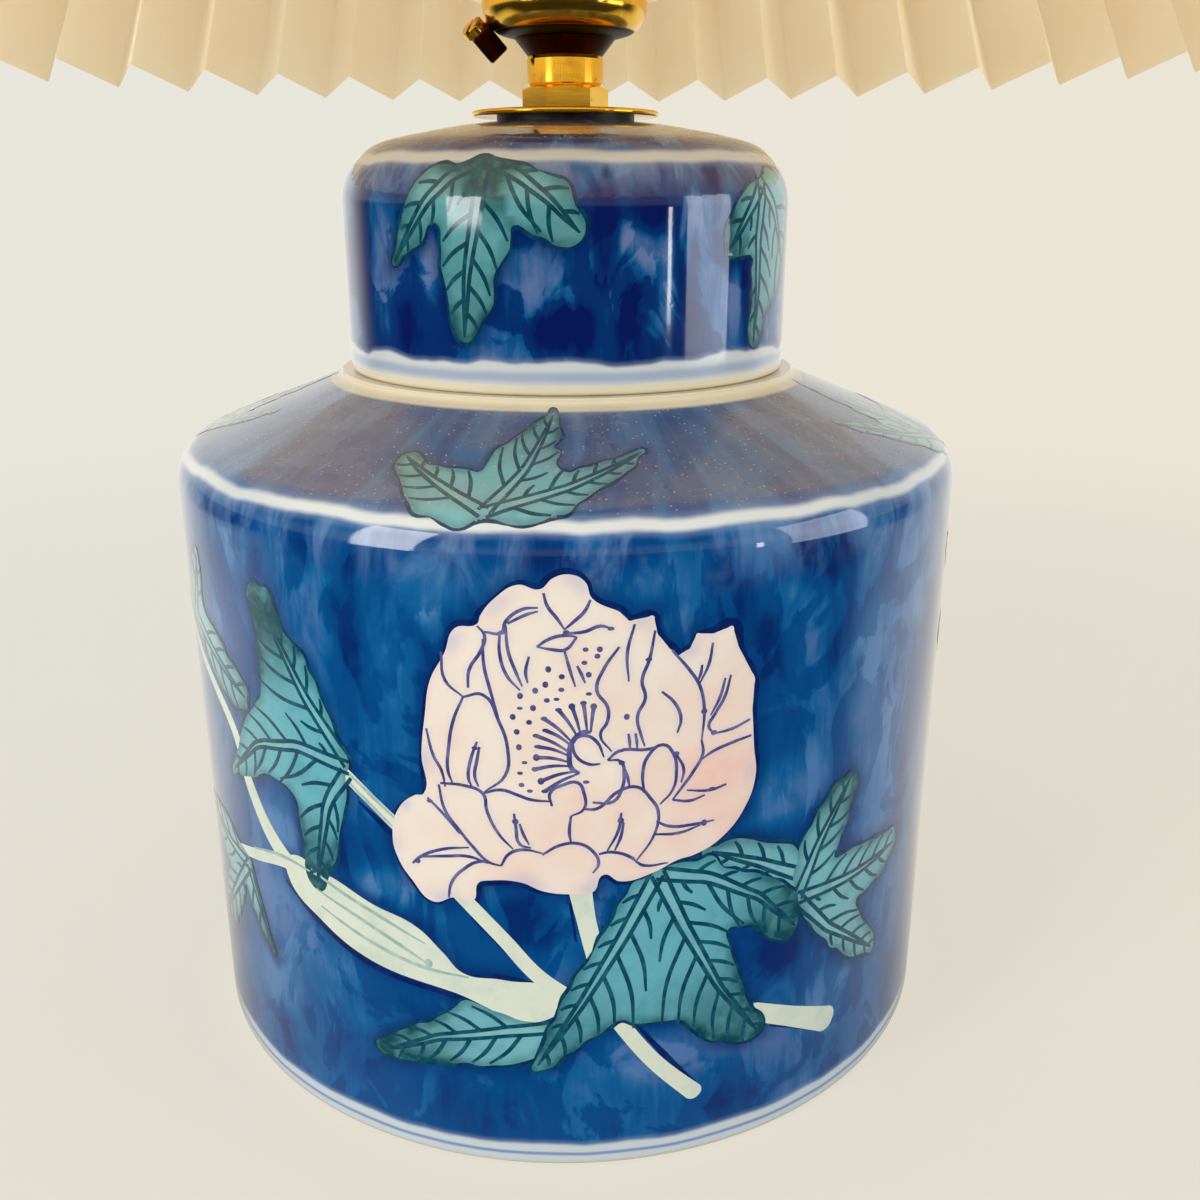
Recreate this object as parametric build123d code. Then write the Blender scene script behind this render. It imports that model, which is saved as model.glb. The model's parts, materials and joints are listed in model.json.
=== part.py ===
from build123d import *
import math
import os

# All sizes in mm. Z is up, the table is z = 0 and the lamp's axis is the Z axis.
# The front, as the lamp is usually seen, faces -Y.

# Porcelain jar
body_radius = 82.5
body_wall = 5.0
straight_height = 119.5
corner_radius = 9.0
inner_corner_radius = 4.0
shoulder_slope = 21.7
foot_bevel = 1.6
foot_width = 11.0
floor_thickness = 6.0
ledge_radius = 48.0
ledge_rise = 0.9
neck_clearance = 1.4
neck_wall = 4.0
neck_height = 20.0

# Porcelain lid
lid_radius = 45.9
lid_wall = 4.0
lid_straight = 32.6
lid_edge_radius = 12.7
crown_rise = 3.9

# Hollow rod that clamps lid and jar together, with its hardware
rod_radius = 4.95
rod_bore = 3.4
rod_clearance = 0.4
rod_proud = 0.3
thread_play = 0.05
washer_radius = 20.0
washer_thickness = 1.5
base_gasket_thickness = 1.0
nut_across_flats = 17.0
nut_height = 4.0
nut_to_table = 1.5
lid_gasket_radius = 14.0
lid_gasket_rise = 0.2
disc_radius = 19.0
disc_thickness = 1.1
lock_nut_across_flats = 15.1
lock_nut_height = 4.6
lock_nut_turn = 4.0

# Rubber grommet for the flex, at the back of the jar
grommet_height = 22.0
grommet_radius = 6.4
grommet_bore = 3.7
grommet_lip = 2.6
grommet_lip_depth = 2.0

# Brass lampholder
boss_radius = 7.7
boss_height = 5.6
boss_spigot_radius = 6.4
boss_spigot_height = 6.4
cup_radius = 10.2
cup_height = 3.4
dome_radius = 16.4
dome_sheet = 0.8
dome_height = 10.7
dome_corner_radius = 5.2
dome_floor_slope = 14.0
flange_radius = 19.3
flange_thickness = 1.6
barrel_bore = 11.3
barrel_thread_radius = 14.2
barrel_thread_length = 15.0
skirt_wall = 1.3
skirt_above_pins = 10.0
spigot_length = 2.2
spigot_clearance = 0.45
lip_width = 1.1
lip_thickness = 1.0
insulator_length = 17.0
insulator_clearance = 0.1
contact_spacing = 9.0
contact_proud = 2.5
plunger_clearance = 0.15
plunger_radius = 2.4
plunger_length = 13.0
plunger_travel = 2.5
spring_wire = 0.4
spring_turns = 6
terminal_screw_radius = 1.8
earth_block_width = 5.8
earth_block_depth = 4.3
earth_block_drop = 1.9
earth_angle = 42.0
earth_stud_radius = 1.0
earth_screw_tilt = 68.0
earth_screw_level = 2.6
earth_screw_radius = 2.4
earth_screw_head = 1.8

# Bayonet lamp
cap_radius = 11.0
cap_sheet = 0.5
cap_length = 23.0
pin_radius = 1.0
pin_reach = 13.4
pin_height = 7.0
pin_clearance = 0.45
bulb_radius = 30.0
bulb_length = 105.0
bulb_neck_radius = 12.0
bulb_shoulder_radius = 40.0
glass_wall = 0.8
glass_seat = 4.0
glass_clearance = 0.05
bulb_twist = 20.0

# Pleated shade and its wire carrier
shade_ring_wall = 3.2
shade_ring_height = 7.0
shade_ring_notches = 16
fitter_margin = 6.5
fitter_thickness = 1.2
fitter_clearance = 0.4
carrier_height = 133.7
carrier_wire = 1.25
carrier_knee = 44.0
carrier_bend = 14.0
carrier_arms = 3
carrier_clearance = 1.2
weld_bite = 0.3
top_ring_drop = 6.0
top_ring_wire = 1.5
pleat_count = 46
pleat_depth = 13.25
pleat_turn = -3.2
paper_thickness = 0.9
paper_gap = 0.3
shade_bottom_radius = 156.0
shade_top_radius = 57.0
shade_height = 152.0


def on_circle(centre, radius, angle):
    """Point of a profile at an angle in degrees, counted from the outward direction."""
    turn = math.radians(angle)
    return centre[0] + radius * math.cos(turn), centre[1] + radius * math.sin(turn)


def lathe(start, *steps):
    """Profile in radius and height turned about Z. A step is a point, or (middle, end) of an arc."""
    edges = []
    here = start
    for step in steps + (start,):
        is_arc = isinstance(step[0], tuple)
        there = step[1] if is_arc else step
        a, b = Vector(here[0], 0, here[1]), Vector(there[0], 0, there[1])
        if is_arc:
            edges.append(Edge.make_three_point_arc(a, Vector(step[0][0], 0, step[0][1]), b))
        elif (a - b).length > 1e-6:
            edges.append(Edge.make_line(a, b))
        here = there
    return revolve(Face(Wire(edges)), Axis.Z)


def rod_along(start, end, radius):
    """Round bar between two points."""
    start, end = Vector(*start), Vector(*end)
    plane = Plane(origin=start, z_dir=end - start)
    return extrude(plane * Circle(radius), (end - start).length)


def ring(outer, inner, low, high):
    """Flat ring about Z between two levels."""
    return lathe((inner, low), (outer, low), (outer, high), (inner, high))


def hex_nut(across_flats, bore, low, high, turn=30.0):
    """Hexagon nut about Z with its top corners turned off."""
    corner = across_flats / math.sqrt(3)
    nut = extrude(Pos(0, 0, low) * RegularPolygon(corner, 6, rotation=turn), high - low)
    turned = lathe((0, low), (corner + 1, low), (corner + 1, high - 1.0),
                   (across_flats / 2 - 0.3, high), (0, high))
    return nut & turned - Pos(0, 0, (low + high) / 2) * Cylinder(bore, 2 * (high - low))


# Levels of the stack, from the table up
nut_high = nut_to_table + nut_height
washer_high = nut_high + washer_thickness
floor_low = washer_high + base_gasket_thickness
floor_high = floor_low + floor_thickness
shoulder_turn = 90 - shoulder_slope
half_turn = math.radians(shoulder_turn / 2)
slope = math.radians(shoulder_slope)
shoulder_level = straight_height + corner_radius * math.tan(half_turn)
inner_wall = body_radius - body_wall
inner_shoulder_level = shoulder_level + body_wall * (math.tan(slope) - 1 / math.cos(slope))
ledge_low = shoulder_level + (body_radius - ledge_radius) * math.tan(slope)
lid_low = ledge_low + ledge_rise
neck_outer = lid_radius - lid_wall - neck_clearance
neck_inner = neck_outer - neck_wall
lid_edge_centre = (lid_radius - lid_edge_radius, lid_low + lid_straight)
crown_high = lid_edge_centre[1] + lid_edge_radius + crown_rise
crown_radius = (lid_edge_centre[0] ** 2 / crown_rise + 2 * lid_edge_radius + crown_rise) / 2
crown_centre = (0, crown_high - crown_radius)
crown_turn = math.degrees(math.atan2(lid_edge_centre[1] - crown_centre[1], lid_edge_centre[0]))
disc_low = crown_high + lid_gasket_rise
disc_high = disc_low + disc_thickness
boss_low = disc_high + lock_nut_height
dome_low = boss_low + boss_height
dome_corner = (dome_radius, dome_low + cup_height
               + (dome_radius - cup_radius) * math.tan(math.radians(dome_floor_slope)))
dome_corner_centre = (dome_radius - dome_corner_radius, dome_corner[1] + dome_corner_radius
                      * math.tan(math.radians((90 - dome_floor_slope) / 2)))
flange_low = dome_low + dome_height
flange_high = flange_low + flange_thickness
insulator_low = dome_low + boss_spigot_height
insulator_high = insulator_low + insulator_length
skirt_low = flange_high + barrel_thread_length
cap_low = insulator_high + plunger_travel + contact_proud
pin_level = cap_low + pin_height
barrel_high = pin_level + skirt_above_pins
collar_bore = barrel_thread_radius + 3 * thread_play
collar_radius = collar_bore + shade_ring_wall
fitter_radius = collar_radius + fitter_margin
plunger_low = cap_low - plunger_length
well_low = insulator_low + 2.0
bulb_low = cap_low + cap_length
bulb_centre = (0, cap_low + bulb_length - bulb_radius)
fitter_high = flange_high + fitter_thickness
ring_level = fitter_high + carrier_height
paper_high = ring_level + top_ring_drop
rod_hole = rod_radius + rod_clearance


def shoulder_corner(side, level, fillet):
    """Rounded corner from a side wall to the shoulder: where it starts, its middle and its end."""
    start = (side, level - fillet * math.tan(half_turn))
    centre = (side - fillet, start[1])
    middle = on_circle(centre, fillet, shoulder_turn / 2)
    return start, middle, on_circle(centre, fillet, shoulder_turn)


def jar_body():
    """Cylindrical jar on a recessed foot, with a conical shoulder and a neck inside the lid."""
    foot_in = body_radius - foot_width
    neck_high = lid_low + neck_height
    bevel_centre = (body_radius - foot_bevel, foot_bevel)
    corner, corner_middle, corner_end = shoulder_corner(body_radius, shoulder_level, corner_radius)
    inner, inner_middle, inner_end = shoulder_corner(inner_wall, inner_shoulder_level,
                                                     inner_corner_radius)
    inner_neck_low = inner_shoulder_level + (inner_wall - neck_inner) * math.tan(slope)
    jar = lathe(
        (rod_hole, floor_low),
        (foot_in, floor_low),
        (foot_in, 0),
        (body_radius - foot_bevel, 0),
        (on_circle(bevel_centre, foot_bevel, -45), (body_radius, foot_bevel)),
        corner,
        (corner_middle, corner_end),
        (ledge_radius, ledge_low),
        (ledge_radius, lid_low),
        (neck_outer, lid_low),
        (neck_outer, neck_high),
        (neck_inner, neck_high),
        (neck_inner, inner_neck_low),
        inner_end,
        (inner_middle, inner),
        (inner_wall, floor_high),
        (rod_hole, floor_high),
    )
    flex_hole = rod_along((0, inner_wall - body_wall, grommet_height),
                          (0, body_radius + body_wall, grommet_height), grommet_radius)
    return jar - flex_hole


def crown_level(radius, offset=0.0):
    """Height of the crown's outer or inner face at a radius."""
    return crown_centre[1] + math.sqrt((crown_radius - offset) ** 2 - radius ** 2)


def lid_side(offset):
    """Points up the lid's side, moved inward by the offset: foot, edge, its middle, crown, hole."""
    edge = lid_edge_radius - offset
    join = on_circle(lid_edge_centre, edge, crown_turn)
    middle = (join[0] + rod_hole) / 2
    return (
        (lid_radius - offset, lid_low),
        (lid_radius - offset, lid_edge_centre[1]),
        on_circle(lid_edge_centre, edge, crown_turn / 2),
        join,
        (middle, crown_level(middle, offset)),
        (rod_hole, crown_level(rod_hole, offset)),
    )


def jar_lid():
    """Domed lid that stands on the jar's ledge and carries the lampholder."""
    foot, edge, edge_middle, join, crown, hole = lid_side(0)
    in_foot, in_edge, in_edge_middle, in_join, in_crown, in_hole = lid_side(lid_wall)
    return lathe(foot, edge, (edge_middle, join), (crown, hole),
                 in_hole, (in_crown, in_join), (in_edge_middle, in_edge), in_foot)


def threaded_rod():
    """Hollow rod from the base nut up into the lampholder."""
    return ring(rod_radius, rod_bore, nut_to_table - rod_proud, insulator_low - rod_proud)


def lid_gasket():
    """Dark washer that follows the crown and seats the brass disc."""
    middle = (lid_gasket_radius + rod_hole) / 2
    return lathe(
        (rod_hole, crown_level(rod_hole)),
        ((middle, crown_level(middle)), (lid_gasket_radius, crown_level(lid_gasket_radius))),
        (lid_gasket_radius, disc_low),
        (rod_hole, disc_low),
    )


def vase_disc():
    """Flat brass disc with a rounded rim."""
    rim = disc_thickness / 2
    centre = (disc_radius - rim, disc_low + rim)
    return lathe(
        (rod_hole, disc_low),
        (disc_radius - rim, disc_low),
        ((disc_radius, centre[1]), (disc_radius - rim, disc_high)),
        (rod_hole, disc_high),
    )


def cord_grommet():
    """Rubber bush in the back wall: a lip outside and one inside, cut to the wall's curve."""
    lip = grommet_radius + grommet_lip
    level = grommet_height
    inside, outside = inner_wall - grommet_lip_depth, body_radius + grommet_lip_depth
    middle = (inner_wall + body_radius) / 2
    bush = rod_along((0, inside, level), (0, outside, level), lip)
    bush -= rod_along((0, inside - 1, level), (0, outside + 1, level), grommet_bore)
    # The jar's wall cuts the bush to a spool; what it cuts right through is put back as one piece.
    neck = rod_along((0, middle - body_wall, level), (0, middle + body_wall, level), grommet_radius)
    return bush - (jar_body() - neck)


def holder_boss():
    """Turned entry boss, screwed on the rod, with a spigot through the dome."""
    bore = rod_radius + thread_play
    return lathe(
        (bore, boss_low),
        (boss_radius - 0.5, boss_low),
        (boss_radius, boss_low + 0.5),
        (boss_radius, dome_low - 0.6),
        (boss_radius - 0.3, dome_low),
        (boss_spigot_radius, dome_low),
        (boss_spigot_radius, insulator_low),
        (bore, insulator_low),
    )


def inset(points, sheet):
    """Profile moved to its left by a sheet's thickness, mitred at its corners."""
    points = [Vector(*point) for point in points]
    runs = [(after - before).normalized() for before, after in zip(points, points[1:])]
    moved = []
    for point, before, after in zip(points, runs[:1] + runs, runs + runs[-1:]):
        left = Vector(-before.Y - after.Y, before.X + after.X)
        moved.append(point + left * (sheet / (1 + before.dot(after))))
    return [(point.X, point.Y) for point in moved]


def dome_arc(radius):
    """Start, middle and end of the dome's rounded corner, at its outer or inner face."""
    floor_turn = math.radians(dome_floor_slope - 90)
    return [(dome_corner_centre[0] + radius * math.cos(turn), dome_corner_centre[1] + radius * math.sin(turn))
            for turn in (floor_turn, floor_turn / 2, 0)]


def dome_side(level):
    """Radius of the dome's inner face at a level of its corner or wall."""
    inner = dome_corner_radius - dome_sheet
    drop = max(dome_corner_centre[1] - level, 0)
    return dome_corner_centre[0] + math.sqrt(inner ** 2 - drop ** 2)


def holder_dome():
    """Spun brass bowl with a narrower cup under it, between the boss and the barrel's flange."""
    hole = boss_spigot_radius + thread_play
    outer = [(hole, dome_low), (boss_radius - 0.3, dome_low), (cup_radius, dome_low + cup_height),
             dome_corner, (dome_radius, flange_low)]
    inner = inset(outer, dome_sheet)
    floor_end, rounding, wall_end = dome_arc(dome_corner_radius)
    inner_floor_end, inner_rounding, inner_wall_end = dome_arc(dome_corner_radius - dome_sheet)
    return lathe(
        *outer[:3],
        floor_end,
        (rounding, wall_end),
        outer[4],
        inner[4],
        inner_wall_end,
        (inner_rounding, inner_floor_end),
        *reversed(inner[:3]),
    ) - earth_stud(thread_play)


def earth_frame():
    """Seat of the earth terminal on the dome's rounded corner, its Z pointing out of the dome."""
    drop = math.radians(earth_angle)
    out = Vector(-math.cos(drop), 0, -math.sin(drop))
    seat = Vector(-dome_corner_centre[0], 0, dome_corner_centre[1]) + out * dome_corner_radius
    return Plane(origin=seat, x_dir=(0, -1, 0), z_dir=out)


def earth_stud(play=0.0):
    """Stud of the earth terminal, through the dome's sheet."""
    length = 2 * dome_sheet
    stud = Cylinder(earth_stud_radius + play, length + 0.5 * earth_block_depth)
    return earth_frame() * Pos(0, 0, 0.25 * earth_block_depth - length / 2) * stud


def screw_frame():
    """Front face of the earth block, where its screw goes in."""
    seat = earth_frame() * Pos(0, -earth_block_drop, 0) * Rot(0, 0, earth_screw_tilt)
    return seat * Pos(earth_block_width / 2, 0, earth_screw_level) * Rot(0, 90, 0)


def earth_terminal():
    """Square brass block on the dome with a hole for its clamping screw."""
    block = Rot(0, 0, earth_screw_tilt) * Box(
        earth_block_width, earth_block_width, earth_block_depth,
        align=(Align.CENTER, Align.CENTER, Align.MIN))
    block = earth_frame() * Pos(0, -earth_block_drop, 0) * chamfer(block.edges(), 0.35)
    hole = screw_frame() * Cylinder(earth_screw_radius * 0.55 + thread_play, 2 * earth_block_width)
    return block + earth_stud() - hole


def earth_screw():
    """Cheese-head screw with a driver slot."""
    up = (Align.CENTER, Align.CENTER, Align.MIN)
    down = (Align.CENTER, Align.CENTER, Align.MAX)
    head = Cylinder(earth_screw_radius, earth_screw_head, align=up)
    head = fillet(head.edges().sort_by(Axis.Z)[-1], 0.3)
    shank = Cylinder(earth_screw_radius * 0.55, earth_block_width - 2.0, align=down)
    slot = Pos(0, 0, earth_screw_head) * Box(3 * earth_screw_radius, 0.8, 1.6)
    return screw_frame() * Rot(0, 0, 50) * (head + shank - slot)


def bayonet_slot():
    """Pin slot: down from the rim, then along a rising ramp to the seat over the twist."""
    half = pin_radius + pin_clearance
    reach = (barrel_bore + skirt_wall / 2) * math.sin(math.radians(bulb_twist))
    low = pin_level - plunger_travel
    ramp = math.hypot(reach, plunger_travel)
    lean = math.degrees(math.atan2(plunger_travel, reach))
    depth = 2 * (barrel_bore + skirt_wall)
    wall = Plane(origin=(0, 0, 0), x_dir=(1, 0, 0), z_dir=(0, -1, 0))
    cutter = None
    for side in (0, 180):
        # Looking at the wall from outside, unscrewing carries the pin to the right.
        ramp_shape = Pos(reach / 2, (pin_level + low) / 2) * Rot(0, 0, -lean) * SlotCenterToCenter(
            ramp, 2 * half)
        entry = Pos(reach, (low + barrel_high + half) / 2) * SlotCenterToCenter(
            barrel_high + half - low, 2 * half, rotation=90)
        shape = extrude(wall * (ramp_shape + entry), depth)
        turned = Rot(0, 0, side) * shape
        cutter = turned if cutter is None else cutter + turned
    return cutter


def holder_barrel():
    """Barrel with the shade flange, the shade thread and a slotted bayonet skirt."""
    skirt = barrel_bore + skirt_wall
    lip = barrel_bore - lip_width
    spigot_low = flange_low - spigot_length
    spigot_radius = dome_side(spigot_low) - spigot_clearance
    barrel = lathe(
        (barrel_bore, spigot_low),
        (spigot_radius, spigot_low),
        (spigot_radius, flange_low),
        (flange_radius - 0.4, flange_low),
        (flange_radius, flange_low + 0.4),
        (flange_radius, flange_high - 0.4),
        (flange_radius - 0.4, flange_high),
        (barrel_thread_radius, flange_high),
        (barrel_thread_radius, skirt_low - 0.8),
        (barrel_thread_radius - 0.8, skirt_low),
        (skirt, skirt_low),
        (skirt, barrel_high),
        (barrel_bore, barrel_high),
        (barrel_bore, insulator_high + lip_thickness),
        (lip, insulator_high + lip_thickness),
        (lip, insulator_high),
        (barrel_bore, insulator_high),
    )
    return barrel - bayonet_slot()


def contact_places():
    """Where the two spring contacts stand."""
    return [Pos(side * contact_spacing / 2, 0, 0) for side in (-1, 1)]


def holder_insulator():
    """Moulded block with a well for each spring contact and a hole for each terminal screw."""
    block = ring(barrel_bore - insulator_clearance, 0, insulator_low, insulator_high)
    for place in contact_places():
        block -= place * ring(plunger_radius + plunger_clearance, 0, well_low, insulator_high + 1)
    for place in screw_places():
        block -= place * ring(terminal_screw_radius * 0.55 + thread_play, 0, insulator_low - 1,
                              insulator_low + 2 * terminal_screw_radius)
    return block


def contact_plungers():
    """Two sprung brass contacts that press on the lamp cap."""
    pins = []
    for place in contact_places():
        pin = ring(plunger_radius, 0, plunger_low, cap_low)
        pins.append(place * chamfer(pin.edges().sort_by(Axis.Z)[-1], 0.5))
    return Compound(children=pins)


def plunger_springs():
    """Coil springs under the contacts, each half turn made of two tangent arcs."""
    coil_radius = plunger_radius - spring_wire
    low, high = well_low + spring_wire, plunger_low - spring_wire
    halves = 2 * spring_turns
    climb = (high - low) / halves

    def point(step):
        turn = math.pi * step
        return Vector(coil_radius * math.cos(turn), coil_radius * math.sin(turn), low + climb * step)

    def heading(step):
        turn = math.pi * step
        way = Vector(-math.sin(turn), math.cos(turn), climb / (math.pi * coil_radius))
        return way.normalized()

    arcs = []
    for k in range(halves):
        a, b, leave, arrive = point(k), point(k + 1), heading(k), heading(k + 1)
        along = (b - a).dot(leave + arrive)
        bend = 1 - leave.dot(arrive)
        reach = (math.sqrt(along ** 2 + 2 * bend * (b - a).dot(b - a)) - along) / (2 * bend)
        middle = (a + b + (leave - arrive) * reach) * 0.5
        arcs.append(Edge.make_tangent_arc(a, leave, middle))
        arcs.append(Edge.make_tangent_arc(b, arrive * -1, middle))
    path = Wire(arcs)
    coil = sweep(Plane(origin=point(0), z_dir=heading(0)) * Circle(spring_wire / 2), path=path)
    return Compound(children=[place * coil for place in contact_places()])


def screw_places():
    """Where the two terminal screws stand, beside the rod's end."""
    return [Pos(0, side * (boss_spigot_radius + terminal_screw_radius + 0.4), 0) for side in (-1, 1)]


def terminal_screws():
    """Two small screws under the insulator that hold the flex's cores."""
    head_low = insulator_low - 1.5
    screw = lathe((0, head_low), (terminal_screw_radius, head_low),
                  (terminal_screw_radius, insulator_low),
                  (terminal_screw_radius * 0.55, insulator_low),
                  (terminal_screw_radius * 0.55, insulator_low + 1.7 * terminal_screw_radius),
                  (0, insulator_low + 1.7 * terminal_screw_radius))
    slot = Pos(0, 0, head_low) * Box(3 * terminal_screw_radius, 0.7, 1.2)
    return Compound(children=[place * (screw - slot) for place in screw_places()])


def bulb_cap():
    """Bayonet cap with its two side pins."""
    cap = lathe((0, cap_low), (cap_radius - 1.0, cap_low), (cap_radius, cap_low + 1.0),
                (cap_radius, bulb_low), (cap_radius - cap_sheet, bulb_low),
                (cap_radius - cap_sheet, cap_low + 3.0), (0, cap_low + 3.0))
    pins = rod_along((0, -pin_reach, pin_level), (0, pin_reach, pin_level), pin_radius)
    hollow = Pos(0, 0, pin_level) * Cylinder(cap_radius - cap_sheet / 2, 4 * pin_radius)
    return cap + (pins - hollow)


def bulb_side(offset):
    """Half outline of the glass envelope from its open neck to its tip."""
    radius = bulb_radius - offset
    neck = bulb_neck_radius - offset
    bend = bulb_shoulder_radius + offset
    drop = math.sqrt((bulb_radius + bulb_shoulder_radius) ** 2
                     - (bulb_neck_radius + bulb_shoulder_radius) ** 2)
    bend_centre = (bulb_neck_radius + bulb_shoulder_radius, bulb_centre[1] - drop)
    join_turn = -math.degrees(math.atan2(drop, bend_centre[0]))
    join = on_circle(bulb_centre, radius, join_turn)
    bend_mid = on_circle(bend_centre, bend, 180 + join_turn / 2)
    tip = (0, bulb_centre[1] + radius)
    return neck, bend_centre[1], bend_mid, join, on_circle(bulb_centre, radius, 30), tip


def bulb_glass():
    """Pear-shaped glass envelope, open where it goes into the cap."""
    neck, low, bend, join, middle, tip = bulb_side(0)
    inner = bulb_side(glass_wall)
    root = cap_radius - cap_sheet - glass_clearance
    return lathe(
        (root - glass_wall, bulb_low - glass_seat),
        (root, bulb_low - glass_seat),
        (root, bulb_low),
        (neck, bulb_low + 2),
        (neck, low),
        (bend, join),
        (middle, tip),
        inner[5],
        (inner[4], inner[3]),
        (inner[2], (inner[0], inner[1])),
        (inner[0], bulb_low + 2),
        (root - glass_wall, bulb_low),
    )


def shade_ring():
    """Screwed collar that clamps the shade's fitter on the flange."""
    outer = collar_radius
    high = fitter_high + shade_ring_height
    collar = lathe((collar_bore, fitter_high), (outer, fitter_high), (outer, high - 0.6),
                   (outer - 0.6, high), (collar_bore, high))
    notch = rod_along((outer + 0.5, 0, fitter_high + 1.5), (outer + 0.5, 0, high + 1), 1.2)
    for k in range(shade_ring_notches):
        collar -= Rot(0, 0, 360 / shade_ring_notches * k) * notch
    return collar


def shade_slope():
    """Lean of the shade's folds from the vertical, in radians."""
    return math.atan2(shade_bottom_radius - shade_top_radius, shade_height)


def top_ring_radius():
    """Centreline radius of the top ring, just inside the inner folds."""
    fold = shade_top_radius + top_ring_drop * math.tan(shade_slope())
    return fold - paper_thickness - (top_ring_wire + paper_gap) / math.cos(shade_slope())


def fitter_ring():
    """Flat ring of the shade that lies on the barrel's flange."""
    return ring(fitter_radius, barrel_thread_radius + fitter_clearance, flange_high, fitter_high)


def carrier_arm(index):
    """Wire from the fitter ring out and up to the inside of the top ring."""
    level = fitter_high + carrier_wire - weld_bite
    end = top_ring_radius() - top_ring_wire - carrier_wire + weld_bite
    start = collar_radius + carrier_wire + carrier_clearance
    path = FilletPolyline((start, 0, level), (carrier_knee, 0, level),
                          (end, 0, ring_level + top_ring_wire), radius=carrier_bend)
    arm = sweep(Plane(origin=path @ 0, z_dir=path % 0) * Circle(carrier_wire), path=path)
    return Rot(0, 0, 90 + 360 / carrier_arms * index) * arm


def top_ring():
    """Round wire that carries the folds at the top."""
    section = Plane.XZ * Pos(top_ring_radius(), ring_level) * Circle(top_ring_wire)
    return revolve(section, Axis.Z)


def shade_pleats():
    """Folded paper cone: straight folds, alternately inner and outer, all panels of one width."""
    half_step = math.pi / pleat_count
    lean = shade_slope()
    bottom_chord = 2 * shade_bottom_radius * math.sin(half_step / 2)
    top_chord = 2 * shade_top_radius * math.sin(half_step / 2)
    panel_width = math.hypot(pleat_depth, bottom_chord)
    top_depth = math.sqrt(panel_width ** 2 - top_chord ** 2)

    def fold(index, at_top, inside):
        depth = (top_depth if at_top else pleat_depth) * ((index + 1) % 2)
        radius = shade_top_radius if at_top else shade_bottom_radius
        radius += depth * math.cos(lean) - (paper_thickness if inside else 0)
        level = paper_high - (0 if at_top else shade_height) + depth * math.sin(lean)
        turn = half_step * (index % (2 * pleat_count)) + math.radians(pleat_turn)
        return Vector(radius * math.cos(turn), radius * math.sin(turn), level)

    def triangles(a, b, c, d):
        return [Face(Wire.make_polygon(corners)) for corners in ((a, b, c), (a, c, d))]

    faces = []
    for k in range(2 * pleat_count):
        low_out, low_in = fold(k, False, False), fold(k, False, True)
        high_out, high_in = fold(k, True, False), fold(k, True, True)
        next_low_out, next_low_in = fold(k + 1, False, False), fold(k + 1, False, True)
        next_high_out, next_high_in = fold(k + 1, True, False), fold(k + 1, True, True)
        faces += triangles(low_out, next_low_out, next_high_out, high_out)
        faces += triangles(low_in, next_low_in, next_high_in, high_in)
        faces += triangles(low_out, next_low_out, next_low_in, low_in)
        faces += triangles(high_out, next_high_out, next_high_in, high_in)
    return Solid(Shell(faces))


pieces = {
    "jar_body": jar_body(),
    "jar_lid": jar_lid(),
    "threaded_rod": threaded_rod(),
    "base_gasket": ring(washer_radius, rod_hole, washer_high, floor_low),
    "base_washer": ring(washer_radius, rod_hole, nut_high, washer_high),
    "base_nut": hex_nut(nut_across_flats, rod_radius + thread_play, nut_to_table, nut_high),
    "lid_gasket": lid_gasket(),
    "vase_disc": vase_disc(),
    "lock_nut": hex_nut(lock_nut_across_flats, rod_radius + thread_play, disc_high, boss_low, lock_nut_turn),
    "cord_grommet": cord_grommet(),
    "holder_boss": holder_boss(),
    "holder_dome": holder_dome(),
    "holder_barrel": holder_barrel(),
    "holder_insulator": holder_insulator(),
    "contact_plungers": contact_plungers(),
    "plunger_springs": plunger_springs(),
    "terminal_screws": terminal_screws(),
    "earth_terminal": earth_terminal(),
    "earth_screw": earth_screw(),
    "bulb_cap": bulb_cap(),
    "bulb_glass": bulb_glass(),
    "shade_ring": shade_ring(),
    "fitter_ring": fitter_ring(),
    "top_ring": top_ring(),
    "shade_pleats": shade_pleats(),
}
for index in range(carrier_arms):
    pieces[f"carrier_arm_{index + 1}"] = carrier_arm(index)

os.makedirs("parts", exist_ok=True)
for name, piece in pieces.items():
    export_step(piece, f"parts/{name}.step")
    print(name, "volume", round(piece.volume), "mm3")
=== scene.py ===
import bpy
import json
import math
import numpy as np
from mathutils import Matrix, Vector


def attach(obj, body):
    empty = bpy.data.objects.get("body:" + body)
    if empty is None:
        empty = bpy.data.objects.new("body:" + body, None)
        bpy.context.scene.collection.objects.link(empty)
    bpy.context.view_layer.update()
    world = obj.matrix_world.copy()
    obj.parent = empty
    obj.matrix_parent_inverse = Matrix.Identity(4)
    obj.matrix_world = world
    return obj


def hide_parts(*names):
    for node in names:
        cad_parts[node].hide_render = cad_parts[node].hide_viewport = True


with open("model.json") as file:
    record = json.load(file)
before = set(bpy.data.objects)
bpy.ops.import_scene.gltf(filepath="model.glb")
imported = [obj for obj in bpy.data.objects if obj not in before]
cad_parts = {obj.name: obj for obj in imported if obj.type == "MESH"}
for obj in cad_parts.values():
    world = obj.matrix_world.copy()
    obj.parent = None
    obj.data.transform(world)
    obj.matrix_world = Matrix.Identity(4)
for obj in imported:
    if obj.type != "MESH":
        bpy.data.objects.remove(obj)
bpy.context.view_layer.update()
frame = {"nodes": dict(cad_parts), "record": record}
nodes = frame["nodes"]
mm = 0.001
print("frame loaded:", len(nodes), "nodes")


def pick(piece):  # leave edit mode and select one object alone
    active = bpy.context.view_layer.objects.active
    if active is not None and active.mode == "EDIT":
        bpy.ops.object.mode_set(mode="OBJECT")
    bpy.ops.object.select_all(action="DESELECT")
    piece.select_set(True)
    bpy.context.view_layer.objects.active = piece


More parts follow.
